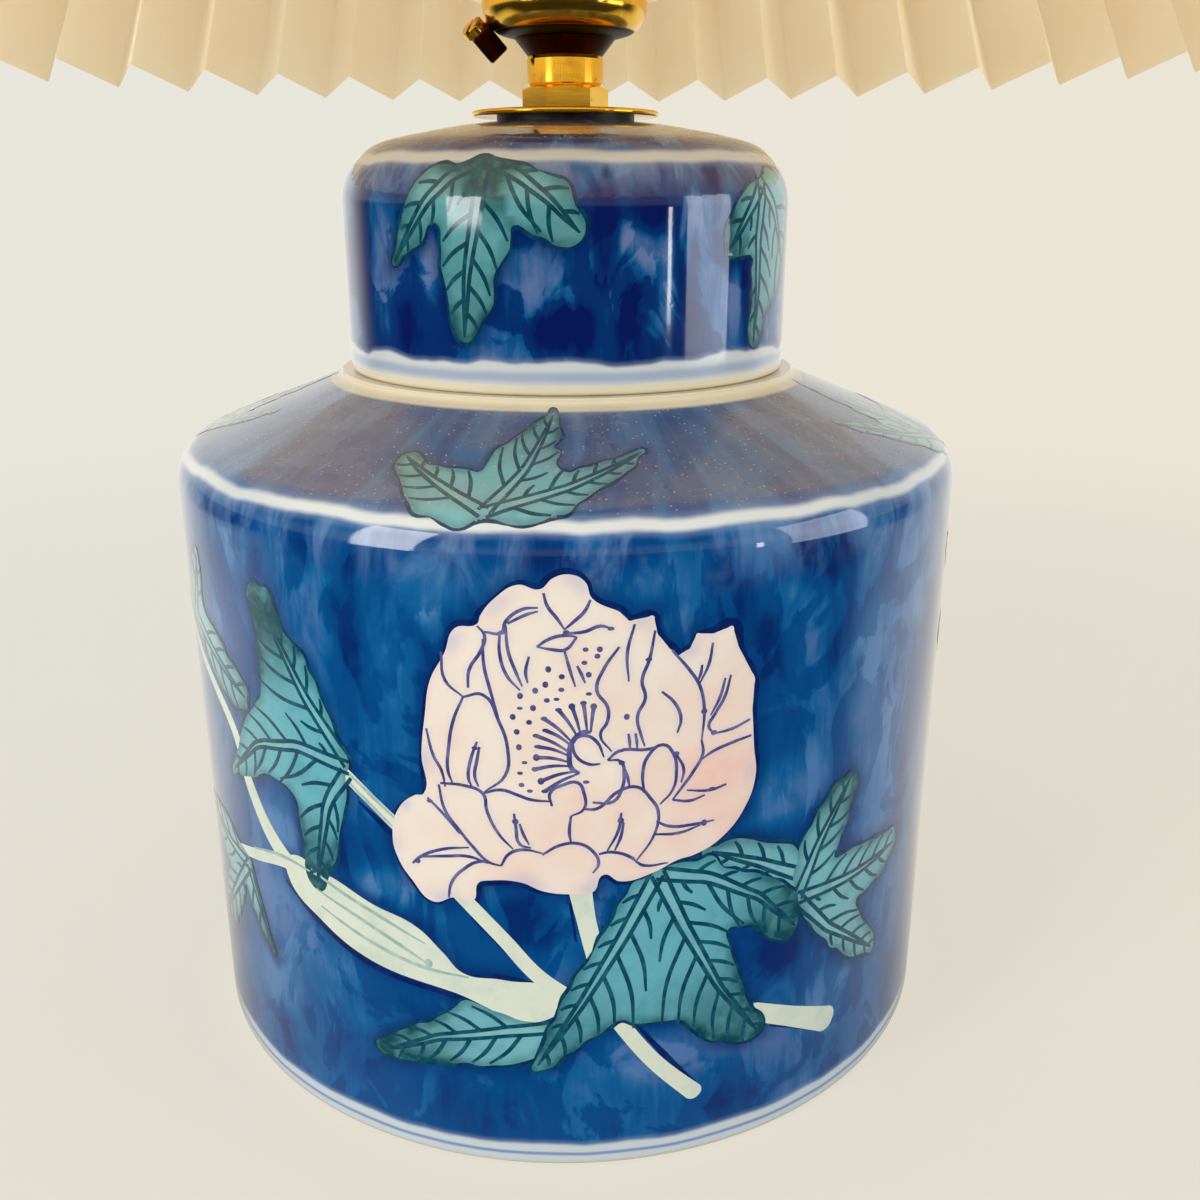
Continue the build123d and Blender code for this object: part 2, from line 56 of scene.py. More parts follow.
def joinPieces(pieces, name):
    pick(pieces[0])
    for piece in pieces:
        piece.select_set(True)
    if len(pieces) > 1:
        bpy.ops.object.join()
    joined = bpy.context.object
    joined.name = name
    joined.data.name = name
    return joined


def applyModifier(piece, kind, **settings):
    pick(piece)
    made = piece.modifiers.new(kind.lower(), kind)
    for name, value in settings.items():
        setattr(made, name, value)
    bpy.ops.object.modifier_apply(modifier=made.name)


def smoothByAngle(piece, degrees):
    pick(piece)
    bpy.ops.object.shade_smooth_by_angle(angle=math.radians(degrees))


def wear(piece, material):
    piece.data.materials.clear()
    piece.data.materials.append(material)


bpy.ops.object.select_all(action="DESELECT")

# Node helpers


def screen(red, green, blue):  # a colour as it shows on screen, 0 to 255, to a linear one
    def linear(value):
        share = value / 255
        return share / 12.92 if share <= 0.04045 else ((share + 0.055) / 1.055) ** 2.4
    return linear(red), linear(green), linear(blue), 1.0


def addNode(tree, kind, inputs=None, **settings):
    made = tree.nodes.new("ShaderNode" + kind)
    for name, value in settings.items():
        setattr(made, name, value)
    for name, value in (inputs or {}).items():
        if isinstance(value, bpy.types.NodeSocket):
            tree.links.new(value, made.inputs[name])
        else:
            made.inputs[name].default_value = value
    return made


def calc(tree, operation, first, second=0.0):
    return addNode(tree, "Math", {0: first, 1: second}, operation=operation).outputs[0]


def times(tree, first, second):
    return calc(tree, "MULTIPLY", first, second)


def plus(tree, first, second):
    return calc(tree, "ADD", first, second)


def fade(tree, value, low, high, start=0.0, end=1.0):  # soft step from start to end
    made = addNode(tree, "MapRange", {"Value": value, "From Min": low, "From Max": high,
                                      "To Min": start, "To Max": end}, interpolation_type="SMOOTHSTEP")
    return made.outputs["Result"]


def tint(tree, share, under, over):
    made = addNode(tree, "Mix", data_type="RGBA")
    for socket, value in ((0, share), (6, under), (7, over)):
        if isinstance(value, bpy.types.NodeSocket):
            tree.links.new(value, made.inputs[socket])
        else:
            made.inputs[socket].default_value = value
    return made.outputs[2]


def grain(tree, vector, scale, detail=3.0, roughness=0.5, distortion=0.0):
    made = addNode(tree, "TexNoise", {"Vector": vector, "Scale": scale, "Detail": detail,
                                      "Roughness": roughness, "Distortion": distortion})
    return made.outputs[0]


def objectPlace(tree):
    return addNode(tree, "TexCoord").outputs["Object"]


def attribute(tree, name):
    return addNode(tree, "Attribute", attribute_name=name).outputs["Fac"]


def startGroup(name, inputs, outputs):
    group = bpy.data.node_groups.new(name, "ShaderNodeTree")
    for label, value in inputs:
        socket = group.interface.new_socket(label, in_out="INPUT", socket_type="NodeSocketFloat")
        socket.default_value = value
    for label in outputs:
        group.interface.new_socket(label, in_out="OUTPUT", socket_type="NodeSocketFloat")
    entry = group.nodes.new("NodeGroupInput")
    leave = group.nodes.new("NodeGroupOutput")
    return group, entry.outputs, leave.inputs


def useGroup(tree, group, values=None):
    made = tree.nodes.new("ShaderNodeGroup")
    made.node_tree = group
    for name, value in (values or {}).items():
        made.inputs[name].default_value = value
    return made.outputs


def startMaterial(name):
    material = bpy.data.materials.new(name)
    material.use_nodes = True
    tree = material.node_tree
    return material, tree, tree.nodes["Principled BSDF"]


def feed(tree, socket, output):
    tree.links.new(output, socket)


def setInputs(shader, values):
    for name, value in values.items():
        shader.inputs[name].default_value = value


def acrossAxis(tree, place):  # distance from the lamp's axis
    flat = addNode(tree, "CombineXYZ", {"X": place["X"], "Y": place["Y"]}).outputs[0]
    return addNode(tree, "VectorMath", {0: flat}, operation="LENGTH").outputs["Value"]


def feedBump(tree, shader, height, distance, strength=1.0):
    bump = addNode(tree, "Bump", {"Height": height, "Distance": distance, "Strength": strength})
    feed(tree, shader.inputs["Normal"], bump.outputs["Normal"])


# Effects that several finishes share

glazeValues = {"ripple": 38.0, "pinhole": 420.0, "smear": 60.0, "smooth": 0.045, "rough": 0.11}


def makeGlazeSkin():  # slow ripple of a dipped glaze, with its gloss a little uneven
    group, _, leave = startGroup("glazeSkin", [], ["Height", "Roughness"])
    place = objectPlace(group)
    ripple = grain(group, place, glazeValues["ripple"], 1.0, 0.4)
    pinhole = fade(group, grain(group, place, glazeValues["pinhole"], 1.0), 0.72, 0.8, 1.0, 0.8)
    feed(group, leave["Height"], times(group, ripple, pinhole))
    smear = grain(group, place, glazeValues["smear"], 4.0, 0.6)
    gloss = fade(group, smear, 0.3, 0.75, glazeValues["smooth"], glazeValues["rough"])
    feed(group, leave["Roughness"], gloss)
    return group


dustValues = {"film": 55.0, "speck": 1150.0, "speckRadius": 0.23, "level": (0.72, 0.96)}


def makeSettledDust():  # film and specks on faces that look up
    group, entry, leave = startGroup("settledDust", [("Amount", 1.0)], ["Film", "Specks"])
    coords = addNode(group, "TexCoord")
    facing = addNode(group, "SeparateXYZ", {0: coords.outputs["Normal"]}).outputs["Z"]
    upward = times(group, fade(group, facing, *dustValues["level"]), entry["Amount"])
    cloud = grain(group, coords.outputs["Object"], dustValues["film"], 5.0, 0.6)
    feed(group, leave["Film"], times(group, upward, fade(group, cloud, 0.3, 0.7, 0.3, 1.0)))
    cells = addNode(group, "TexVoronoi", {"Vector": coords.outputs["Object"], "Scale": dustValues["speck"],
                                          "Randomness": 1.0})
    size = addNode(group, "SeparateColor", {0: cells.outputs["Color"]}).outputs[0]
    radius = fade(group, size, 0.3, 1.0, 0.0, dustValues["speckRadius"])
    dot = calc(group, "LESS_THAN", cells.outputs["Distance"], radius)
    feed(group, leave["Specks"], times(group, upward, dot))
    return group


wearValues = {"pit": 700.0, "drawn": (0.12, 0.12, 1.0), "detail": 5.0, "blotchRough": 0.62, "warp": 0.4}


def makeMetalWear():  # blotches, fine rubbing lines and small dark pits of handled metal
    group, entry, leave = startGroup("metalWear", [("Blotch", 60.0), ("Line", 900.0)],
                                     ["Tarnish", "Rubbing", "Pits"])
    place = objectPlace(group)
    blotch = grain(group, place, entry["Blotch"], wearValues["detail"], wearValues["blotchRough"],
                   wearValues["warp"])
    feed(group, leave["Tarnish"], fade(group, blotch, 0.42, 0.72))
    stretched = addNode(group, "Mapping", {"Vector": place, "Scale": wearValues["drawn"]}).outputs[0]
    feed(group, leave["Rubbing"], grain(group, stretched, entry["Line"]))
    pits = grain(group, place, wearValues["pit"], 2.0)
    feed(group, leave["Pits"], fade(group, pits, 0.68, 0.78))
    return group


brushValues = {  # stretch up the wall, then the noise's scale, detail, roughness and distortion
    "Strokes": (0.42, 130.0, 5.0, 0.58, 0.7), "Bristles": (0.07, 900.0, 3.0, 0.6, 0.0),
    "Patches": (0.75, 34.0, 4.0, 0.55, 0.7), "Blots": (0.6, 52.0, 4.0, 0.55, 1.8),
    "Waver": (0.0, 75.0, 2.0, 0.45, 0.0),
}


def makeBrushwork():  # strokes up the wall, broad patches and a wavering edge, for a turned pot
    group, entry, leave = startGroup("brushwork", [("Radius", 0.08)], list(brushValues))
    place = addNode(group, "SeparateXYZ", {0: objectPlace(group)}).outputs
    flat = addNode(group, "CombineXYZ", {"X": place["X"], "Y": place["Y"]}).outputs[0]
    unit = addNode(group, "VectorMath", {0: flat}, operation="NORMALIZE").outputs["Vector"]
    around = addNode(group, "VectorMath", {0: unit, "Scale": entry["Radius"]}, operation="SCALE")
    turn = addNode(group, "SeparateXYZ", {0: around.outputs["Vector"]}).outputs
    for name, (stretch, *noise) in brushValues.items():
        level = times(group, place["Z"], stretch)
        brush = addNode(group, "CombineXYZ", {"X": turn["X"], "Y": turn["Y"], "Z": level}).outputs[0]
        feed(group, leave[name], grain(group, brush, *noise))
    return group


glazeSkin = makeGlazeSkin()
settledDust = makeSettledDust()
metalWear = makeMetalWear()
brushwork = makeBrushwork()
print("shared effects made")

# Turned porcelain: jar and lid

jar = {
    "radius": 82.5, "straight": 119.5, "corner": 9.0, "slope": 21.7, "ledge": 48.0, "ledgeRise": 0.9,
    "footBevel": 1.6, "footWidth": 11.0, "floorLow": 8.0, "floorHigh": 14.0, "wall": 5.0,
    "innerCorner": 4.0, "neckOuter": 40.5, "neckInner": 36.5, "neckHeight": 20.0, "rodHole": 5.35,
    "flexHole": 6.4, "flexLevel": 22.0, "pool": 2.0, "lip": 1.0, "edgeRow": 0.7, "row": 1.25,
    "turns": 400, "smoothTo": 32, "drill": 20.0,
}
slopeTurn = math.radians(jar["slope"])
cornerTurn = math.pi / 2 - slopeTurn
cornerCentre = jar["radius"] - jar["corner"]
cornerEnd = (cornerCentre + jar["corner"] * math.cos(cornerTurn),
             jar["straight"] + jar["corner"] * math.sin(cornerTurn))
cornerAlong = jar["straight"] + jar["corner"] * cornerTurn
slopeLength = (cornerEnd[0] - jar["ledge"]) / math.cos(slopeTurn)
ledgeAlong = cornerAlong + slopeLength
ledgeLow = cornerEnd[1] + slopeLength * math.sin(slopeTurn)

lid = {
    "low": ledgeLow + jar["ledgeRise"], "radius": 45.9, "wall": 4.0, "straight": 32.6, "edge": 12.7,
    "crownRise": 3.9, "rim": 1.0, "edgeRow": 0.7, "row": 1.0, "turns": 288, "smoothTo": 32,
}
edgeCentre = (lid["radius"] - lid["edge"], lid["low"] + lid["straight"])
crownHigh = edgeCentre[1] + lid["edge"] + lid["crownRise"]
crownRadius = (edgeCentre[0] ** 2 / lid["crownRise"] + 2 * lid["edge"] + lid["crownRise"]) / 2
crownCentre = crownHigh - crownRadius
crownTurn = math.atan2(edgeCentre[1] - crownCentre, edgeCentre[0])
edgeAlong = lid["straight"] + lid["edge"] * crownTurn


def jarProfile(along):  # radius, level and outward direction at a length up the jar's side
    if along <= jar["straight"]:
        return jar["radius"], along, 1.0, 0.0
    if along <= cornerAlong:
        turn = (along - jar["straight"]) / jar["corner"]
        across, rise = math.cos(turn), math.sin(turn)
        return cornerCentre + jar["corner"] * across, jar["straight"] + jar["corner"] * rise, across, rise
    past = along - cornerAlong
    return (cornerEnd[0] - past * math.cos(slopeTurn), cornerEnd[1] + past * math.sin(slopeTurn),
            math.sin(slopeTurn), math.cos(slopeTurn))


def lidProfile(along):
    if along <= lid["straight"]:
        return lid["radius"], lid["low"] + along, 1.0, 0.0
    if along <= edgeAlong:
        turn = (along - lid["straight"]) / lid["edge"]
        across, rise = math.cos(turn), math.sin(turn)
        return edgeCentre[0] + lid["edge"] * across, edgeCentre[1] + lid["edge"] * rise, across, rise
    turn = crownTurn + (along - edgeAlong) / crownRadius
    across, rise = math.cos(turn), math.sin(turn)
    return crownRadius * across, crownCentre + crownRadius * rise, across, rise


def layOnto(profile, wall):  # side is millimetres round the wall from the front
    def onto(side, along, lift):
        radius, level, across, rise = profile(along)
        turn = side / wall
        out = radius + across * lift
        return Vector((out * math.sin(turn), -out * math.cos(turn), level + rise * lift)) * mm
    return onto


ontoJar = layOnto(jarProfile, jar["radius"])
ontoLid = layOnto(lidProfile, lid["radius"])


def turnedPiece(name, profile, turns):  # a point is drawn along the profile, then spun round the axis
    bpy.ops.object.select_all(action="DESELECT")
    bpy.ops.mesh.primitive_plane_add(size=mm)
    piece = bpy.context.object
    bpy.ops.object.mode_set(mode="EDIT")
    bpy.ops.mesh.select_all(action="SELECT")
    bpy.ops.mesh.merge(type="CENTER")
    bpy.ops.transform.translate(value=(profile[0][0] * mm, 0, profile[0][1] * mm))
    for here, there in zip(profile, profile[1:] + profile[:1]):
        step = ((there[0] - here[0]) * mm, 0, (there[1] - here[1]) * mm)
        bpy.ops.mesh.extrude_region_move(TRANSFORM_OT_translate={"value": step})
    bpy.ops.mesh.select_all(action="SELECT")
    bpy.ops.mesh.spin(steps=turns, angle=2 * math.pi, center=(0, 0, 0), axis=(0, 0, 1))
    bpy.ops.mesh.select_all(action="SELECT")
    bpy.ops.mesh.remove_doubles(threshold=0.005 * mm)
    bpy.ops.mesh.normals_make_consistent(inside=False)
    bpy.ops.object.mode_set(mode="OBJECT")
    piece.name = name
    piece.data.name = name
    return piece


def alongSteps(profile, start, end, row):  # points of a profile function, about a row apart
    count = max(1, math.ceil((end - start) / row))
    return [profile(start + (end - start) * k / count)[:2] for k in range(count + 1)]


def arcSteps(centre, radius, start, end, count):
    turns = [start + (end - start) * k / count for k in range(count + 1)]
    return [(centre[0] + radius * math.cos(t), centre[1] + radius * math.sin(t)) for t in turns]


def jarOutline():
    radius, bevel, inside = jar["radius"], jar["footBevel"], jar["radius"] - jar["wall"]
    footIn = radius - jar["footWidth"]
    pool, lip = jar["pool"], jar["lip"]
    lidLow = lid["low"]
    neckHigh = lidLow + jar["neckHeight"]
    innerShoulder = jar["straight"] + jar["corner"] * math.tan(cornerTurn / 2) \
        + jar["wall"] * (math.tan(slopeTurn) - 1 / math.cos(slopeTurn))
    innerDrop = jar["innerCorner"] * math.tan(cornerTurn / 2)
    innerCentre = (inside - jar["innerCorner"], innerShoulder - innerDrop)
    neckLow = innerShoulder + (inside - jar["neckInner"]) * math.tan(slopeTurn)
    outline = [(jar["rodHole"], jar["floorLow"]), (footIn - pool, jar["floorLow"])]
    outline += arcSteps((footIn - pool, jar["floorLow"] - pool), pool, math.pi / 2, 0, 4)[1:]  # pooled glaze
    outline += [(footIn, lip), (footIn + lip, 0.0), (radius - bevel, 0.0)]
    outline += arcSteps((radius - bevel, bevel), bevel, -math.pi / 2, 0, 6)[1:]
    outline += alongSteps(jarProfile, bevel, jar["straight"], jar["row"])[1:]
    outline += alongSteps(jarProfile, jar["straight"], cornerAlong, jar["edgeRow"])[1:]
    outline += alongSteps(jarProfile, cornerAlong, ledgeAlong - 0.4, jar["row"])[1:]
    outline += [(jar["ledge"], ledgeLow + 0.3), (jar["ledge"], lidLow - 0.2), (jar["ledge"] - 0.2, lidLow)]
    outline += [(jar["neckOuter"], lidLow), (jar["neckOuter"], neckHigh - lip)]
    outline += [(jar["neckOuter"] - lip, neckHigh), (jar["neckInner"] + lip, neckHigh)]
    outline += [(jar["neckInner"], neckHigh - lip), (jar["neckInner"], neckLow)]
    outline += arcSteps(innerCentre, jar["innerCorner"], cornerTurn, 0, 5)
    outline += [(inside, jar["floorHigh"]), (jar["rodHole"], jar["floorHigh"])]
    return outline


def lidOutline():
    inner = lid["edge"] - lid["wall"]
    innerCrown = crownRadius - lid["wall"]
    holeTurn = math.acos(jar["rodHole"] / crownRadius)
    innerHoleTurn = math.acos(jar["rodHole"] / innerCrown)
    crownEnd = edgeAlong + (holeTurn - crownTurn) * crownRadius
    inside = lid["radius"] - lid["wall"]
    rim = lid["rim"]
    outline = [(inside + rim / 2, lid["low"]), (lid["radius"] - rim, lid["low"])]
    outline += arcSteps((lid["radius"] - rim, lid["low"] + rim), rim, -math.pi / 2, 0, 5)[1:]
    outline += alongSteps(lidProfile, rim, lid["straight"], lid["row"])[1:]
    outline += alongSteps(lidProfile, lid["straight"], edgeAlong, lid["edgeRow"])[1:]
    outline += alongSteps(lidProfile, edgeAlong, crownEnd, lid["row"])[1:]
    outline += arcSteps((0, crownCentre), innerCrown, innerHoleTurn, crownTurn, 8)
    outline += arcSteps(edgeCentre, inner, crownTurn, 0, 8)[1:]
    outline += [(inside, lid["low"] + rim / 2)]
    return outline


jarPiece = turnedPiece("painted_jar", jarOutline(), jar["turns"])
lidPiece = turnedPiece("painted_lid", lidOutline(), lid["turns"])


def drillFlexHole():  # round hole low in the back wall, for the grommet
    bpy.ops.object.select_all(action="DESELECT")
    bpy.ops.mesh.primitive_cylinder_add(vertices=64, radius=jar["flexHole"] * mm, depth=jar["drill"] * mm,
                                        location=(0, jar["radius"] * mm, jar["flexLevel"] * mm),
                                        rotation=(math.pi / 2, 0, 0))
    drill = bpy.context.object
    applyModifier(jarPiece, "BOOLEAN", operation="DIFFERENCE", object=drill, solver="EXACT")
    bpy.data.objects.remove(drill)


drillFlexHole()
smoothByAngle(jarPiece, jar["smoothTo"])
smoothByAngle(lidPiece, lid["smoothTo"])
print("jar and lid turned:", len(jarPiece.data.polygons), len(lidPiece.data.polygons), "faces")

# Painting: flat shapes in millimetres (round the wall, up the wall), laid on as thin enamel

enamel = {
    "root": 0.012, "cell": 1.4, "smooth": 4, "chord": 1.1, "bump": 2.6, "rough": 0.28, "crossing": 0.0001,
    "leaf": 0.06, "rim": 0.026, "layer": 0.022, "ink": 0.014, "petal": 0.14, "dot": 0.006, "branch": 0.05,
    "stem": 0.046, "stemInk": 0.062, "stemDot": 0.064, "shadow": 0.03, "smoothTo": 40,
}


def taper(points, width, start=0.5, end=0.4):  # a brush line swells from its start and thins at its end
    last = len(points) - 1
    return [width * min(1, start + 2.2 * k / last, end + 2.2 * (last - k) / last) for k in range(last + 1)]


def uneven(points, width, swing):  # a closed line of uneven pressure
    return [width * (1 + swing * math.sin(1.9 * k) * math.cos(0.7 * k + 0.4)) for k in range(len(points))]


def partWay(here, there, share):
    return here[0] + (there[0] - here[0]) * share, here[1] + (there[1] - here[1]) * share


def ragged(outline):  # small bumps along a brushed edge
    rough = []
    for index, (here, there) in enumerate(zip(outline, outline[1:] + outline[:1])):
        count = max(1, round(math.dist(here, there) / enamel["bump"]))
        for k in range(count):
            place = partWay(here, there, k / count)
            swing = enamel["rough"] * math.sin(2.7 * index + 4.1 * k) / max(1.0, math.dist(here, there))
            across = (here[1] - there[1], there[0] - here[0])
            rough.append((place[0] + across[0] * swing, place[1] + across[1] * swing))
    return rough


def drawLine(flat, points, widths, lift, closed):
    line = flat.splines.new("BEZIER")
    longest = max(math.dist(here, there) for here, there in zip(points, points[1:]))
    line.resolution_u = max(enamel["smooth"], math.ceil(longest / enamel["chord"]))
    line.bezier_points.add(len(points) - 1)
    for knot, place, width in zip(line.bezier_points, points, widths):
        knot.co = (place[0] * mm, place[1] * mm, lift * mm)
        knot.handle_left_type = "AUTO"
        knot.handle_right_type = "AUTO"
        knot.tilt = math.pi / 2
        knot.radius = width / 2
    line.use_cyclic_u = closed


def layFilm(piece, name, onto, lift):  # give a flat shape its thickness, down into the glaze, and lay it on
    pick(piece)
    bpy.ops.object.mode_set(mode="EDIT")
    bpy.ops.mesh.select_all(action="SELECT")
    if piece.data.polygons[0].normal.z < 0:
        bpy.ops.mesh.flip_normals()
    bpy.ops.object.mode_set(mode="OBJECT")
    applyModifier(piece, "SOLIDIFY", thickness=(lift + enamel["root"]) * mm, offset=-1.0)
    places = np.array([vertex.co[:] for vertex in piece.data.vertices]) / mm
    for vertex, (side, along, above) in zip(piece.data.vertices, places):
        vertex.co = onto(side, along, above + lift)
    piece.name = name
    smoothByAngle(piece, enamel["smoothTo"])
    return places[:, :2]


def cutCells(shape, cell):  # cut a flat shape into cells so that it can bend
    pick(shape)
    places = np.array([vertex.co[:] for vertex in shape.data.vertices]) / mm
    bpy.ops.object.mode_set(mode="EDIT")
    for axis in (0, 1):
        low, high = places[:, axis].min(), places[:, axis].max()
        normal = (1 - axis, axis, 0)
        for cut in range(math.ceil(low / cell), math.ceil(high / cell)):
            level = cut * cell * mm
            bpy.ops.mesh.select_all(action="SELECT")
            bpy.ops.mesh.bisect(plane_co=(level, level, 0), plane_no=normal)
    bpy.ops.object.mode_set(mode="OBJECT")


def inkStrokes(name, strokes, onto, lift, cell=None):  # strokes: points, their widths, closed or not
    bpy.ops.object.select_all(action="DESELECT")
    bpy.ops.curve.primitive_bezier_curve_add()
    flat = bpy.context.object.data
    flat.splines.clear()
    flat.dimensions = "3D"
    flat.twist_mode = "Z_UP"
    flat.extrude = mm
    for index, (points, widths, closed) in enumerate(strokes):
        drawLine(flat, points, widths, index * enamel["crossing"], closed)
    bpy.ops.object.convert(target="MESH")
    ink = bpy.context.object
    if cell is not None:
        cutCells(ink, cell)
    layFilm(ink, name, onto, lift)
    return ink


def crisp(outline, first, last):  # knots beside each corner of a stretch, so that it doesn't round off
    knots = []
    for index, (here, there) in enumerate(zip(outline, outline[1:] + outline[:1])):
        for share in (0.0, 0.25, 0.75) if first <= index < last else (0.0,):
            knots.append(partWay(here, there, share))
    return knots


def fillFlat(outlines):
    bpy.ops.object.select_all(action="DESELECT")
    bpy.ops.curve.primitive_bezier_circle_add()
    flat = bpy.context.object.data
    flat.splines.clear()
    flat.dimensions = "2D"
    flat.fill_mode = "BOTH"
    for outline in outlines:
        drawLine(flat, outline, [1] * len(outline), 0, True)
    bpy.ops.object.convert(target="MESH")
    return bpy.context.object


def fillShape(name, outline, onto, lift, cell=enamel["cell"]):
    shape = fillFlat([outline])
    cutCells(shape, cell)
    return shape, layFilm(shape, name, onto, lift)


def fillDots(name, dots, onto, lift):  # dots: side, along, width
    outlines = []
    for side, along, width in dots:
        half = width / 2
        lean = half * (0.85 + 0.3 * math.sin(7 * side + along))
        outlines.append([(side + half, along), (side, along + lean),
                         (side - half, along), (side, along - lean)])
    shape = fillFlat(outlines)
    layFilm(shape, name, onto, lift)
    return shape


def setValues(piece, name, values):
    layer = piece.data.attributes.new(name, "FLOAT", "POINT")
    layer.data.foreach_set("value", np.asarray(values, dtype=np.float32))


def densePoints(points, closed=False, gap=0.8):  # points along straight runs, for measuring distances
    ends = points[1:] + points[:1] if closed else points[1:]
    dense = []
    for here, there in zip(points, ends):
        count = max(1, math.ceil(math.dist(here, there) / gap))
        dense += [(here[0] + (there[0] - here[0]) * k / count,
                   here[1] + (there[1] - here[1]) * k / count) for k in range(count)]
    return np.array(dense + [ends[-1]])


def nearest(places, dense):  # distance to a dense line and the share of its length there
    gaps = np.full(len(places), 1e9)
    shares = np.zeros(len(places))
    for index, point in enumerate(dense):
        gap = np.hypot(places[:, 0] - point[0], places[:, 1] - point[1])
        closer = gap < gaps
        gaps[closer] = gap[closer]
        shares[closer] = index / (len(dense) - 1)
    return gaps, shares


def softStep(values, low, high):
    share = np.clip((values - low) / (high - low), 0, 1)
    return share * share * (3 - 2 * share)


def inside(place, outline):  # even-odd rule
    hits = 0
    for (x0, y0), (x1, y1) in zip(outline, outline[1:] + outline[:1]):
        if (y0 > place[1]) != (y1 > place[1]):
            if place[0] < x0 + (place[1] - y0) * (x1 - x0) / (y1 - y0):
                hits += 1
    return hits % 2 == 1


# Leaves: outline, ribs with how dark each tip is, and how pale the leaf is

leftLeaf = {
    "outline": [(-40.6, 80.3), (-45, 90.3), (-49.4, 99), (-53.8, 102.8), (-57.5, 109.6), (-61.3, 110.5),
                (-63.8, 107.8), (-61.9, 100.3), (-61.9, 92.8), (-62.5, 87.8), (-68.1, 82.8), (-71.9, 76.5),
                (-75.6, 70.9), (-77.5, 67.1), (-70, 69), (-62.5, 72.1), (-56.3, 71.5), (-54.4, 69),
                (-53.1, 61.5), (-53.8, 55.3), (-51.9, 52.5), (-49.4, 51.9), (-47.5, 55.3), (-45, 61.5),
                (-43.1, 67.8), (-41.9, 74), (-41.3, 77.8)],
    "ribs": [([(-40.6, 80.3), (-50, 91.5), (-60.5, 108)], 1.0),
             ([(-40.6, 79.6), (-52.5, 80.9), (-65, 77.8), (-76, 68.6)], 0.1),
             ([(-41.3, 78.4), (-46.3, 71.5), (-48.8, 61.5), (-50.5, 53.4)], 1.0)],
    "pale": 0.25,
}
bigLeaf = {
    "outline": [(16.9, 64), (10.6, 61.5), (5, 50.3), (-0.6, 40.3), (-4.4, 31.5), (-7.5, 22.1), (-3.8, 23.4),
                (2.5, 29), (8.8, 32.8), (11.3, 32.1), (20, 30.9), (26.3, 25.3), (32.5, 22.8), (36.9, 24),
                (37.5, 25.9), (33.8, 31.5), (31.3, 37.8), (29.4, 45.3), (28.8, 49), (34.4, 47.8),
                (38.8, 44), (42.5, 42.8), (44.4, 45.9), (43.8, 51.5), (40, 55.9), (33.8, 59), (27.5, 62.1),
                (25, 64.6)],
    "ribs": [([(15, 62.8), (8.8, 50.3), (1.3, 36.5), (-6.6, 23.4)], 0.5),
             ([(15, 62.8), (20, 51.5), (27.5, 36.5), (36, 24.4)], 0.8),
             ([(15, 62.8), (25, 60.3), (35, 54), (43.8, 45)], 0.8)],
    "pale": 0.2, "layer": 2,
}
rightLeaf = {
    "outline": [(42.5, 55.9), (43.8, 61.5), (47.5, 67.8), (52.5, 72.1), (56.3, 73.4), (58.5, 70.3),
                (56.9, 65.3), (53.1, 56.5), (61.3, 55.9), (68.8, 55.3), (74.4, 54), (75.6, 50.3),
                (70, 45.9), (61.3, 44), (62.5, 40.3), (66.3, 35.3), (69.4, 31.5), (68.8, 28.4),
                (61.3, 30.3), (53.8, 36.5), (47.5, 44), (43.8, 50.3)],
    "ribs": [([(43.8, 50.9), (48.8, 61.5), (56.4, 72.4)], 0.6),
             ([(43.8, 50.9), (58.8, 50.3), (74.6, 51)], 0.3),
             ([(43.8, 50.9), (52.5, 41.5), (68.1, 29.6)], 0.2)],
    "pale": 0.6, "layer": 1,
}
backLobe = {
    "outline": [(23.5, 66.4), (30, 67), (36, 65), (42, 62.4), (45.5, 59), (44.5, 51), (38, 55.5),
                (30, 60), (24, 63.5)],
    "ribs": [([(44, 56), (35, 61), (25, 65.5)], 0.2)],
    "pale": 0.55,
}
lowLeaf = {
    "outline": [(-37.5, 20.3), (-38.8, 22.1), (-33.8, 26.5), (-25, 31.5), (-20, 36.5), (-12.5, 34),
                (-3.8, 32.1), (-1.9, 30.3), (-6.9, 25.3), (-12.5, 22.8), (-22.5, 22.1), (-30, 20.3)],
    "ribs": [([(-2.5, 32), (-12.5, 30.4), (-25, 27.3), (-37.4, 21)], 0.9)],
    "pale": 0.5,
}
farLowLeaf = {
    "outline": [(-73, 49), (-72.5, 44), (-69, 37), (-66.5, 30.9), (-70, 33), (-74.5, 38.5), (-77, 42),
                (-80, 36), (-86, 28.5), (-98.8, 23.4), (-95, 30), (-90, 37), (-86, 42), (-90, 45),
                (-97, 49), (-99, 53), (-92, 55), (-84, 54), (-78, 51.5)],
    "ribs": [([(-74, 48), (-70.5, 40), (-67, 31.8)], 0.7), ([(-74, 48), (-83, 38.5), (-97, 24.6)], 0.4),
             ([(-74, 48), (-84, 49), (-97.5, 51.5)], 0.3)],
    "pale": 0.85,
}
farHighLeaf = {
    "outline": [(-93, 94), (-86, 89.5), (-79, 85.5), (-73, 82.5), (-68, 84), (-66.9, 87.8), (-72, 91.5),
                (-78, 95.5), (-84, 98.5), (-86, 101), (-84.5, 107), (-86, 111), (-90, 109), (-93.5, 102)],
    "ribs": [([(-92, 96), (-80, 91), (-68.3, 86)], 0.4), ([(-92, 97), (-89, 103), (-86.5, 109.8)], 0.2)],
    "pale": 0.85,
}
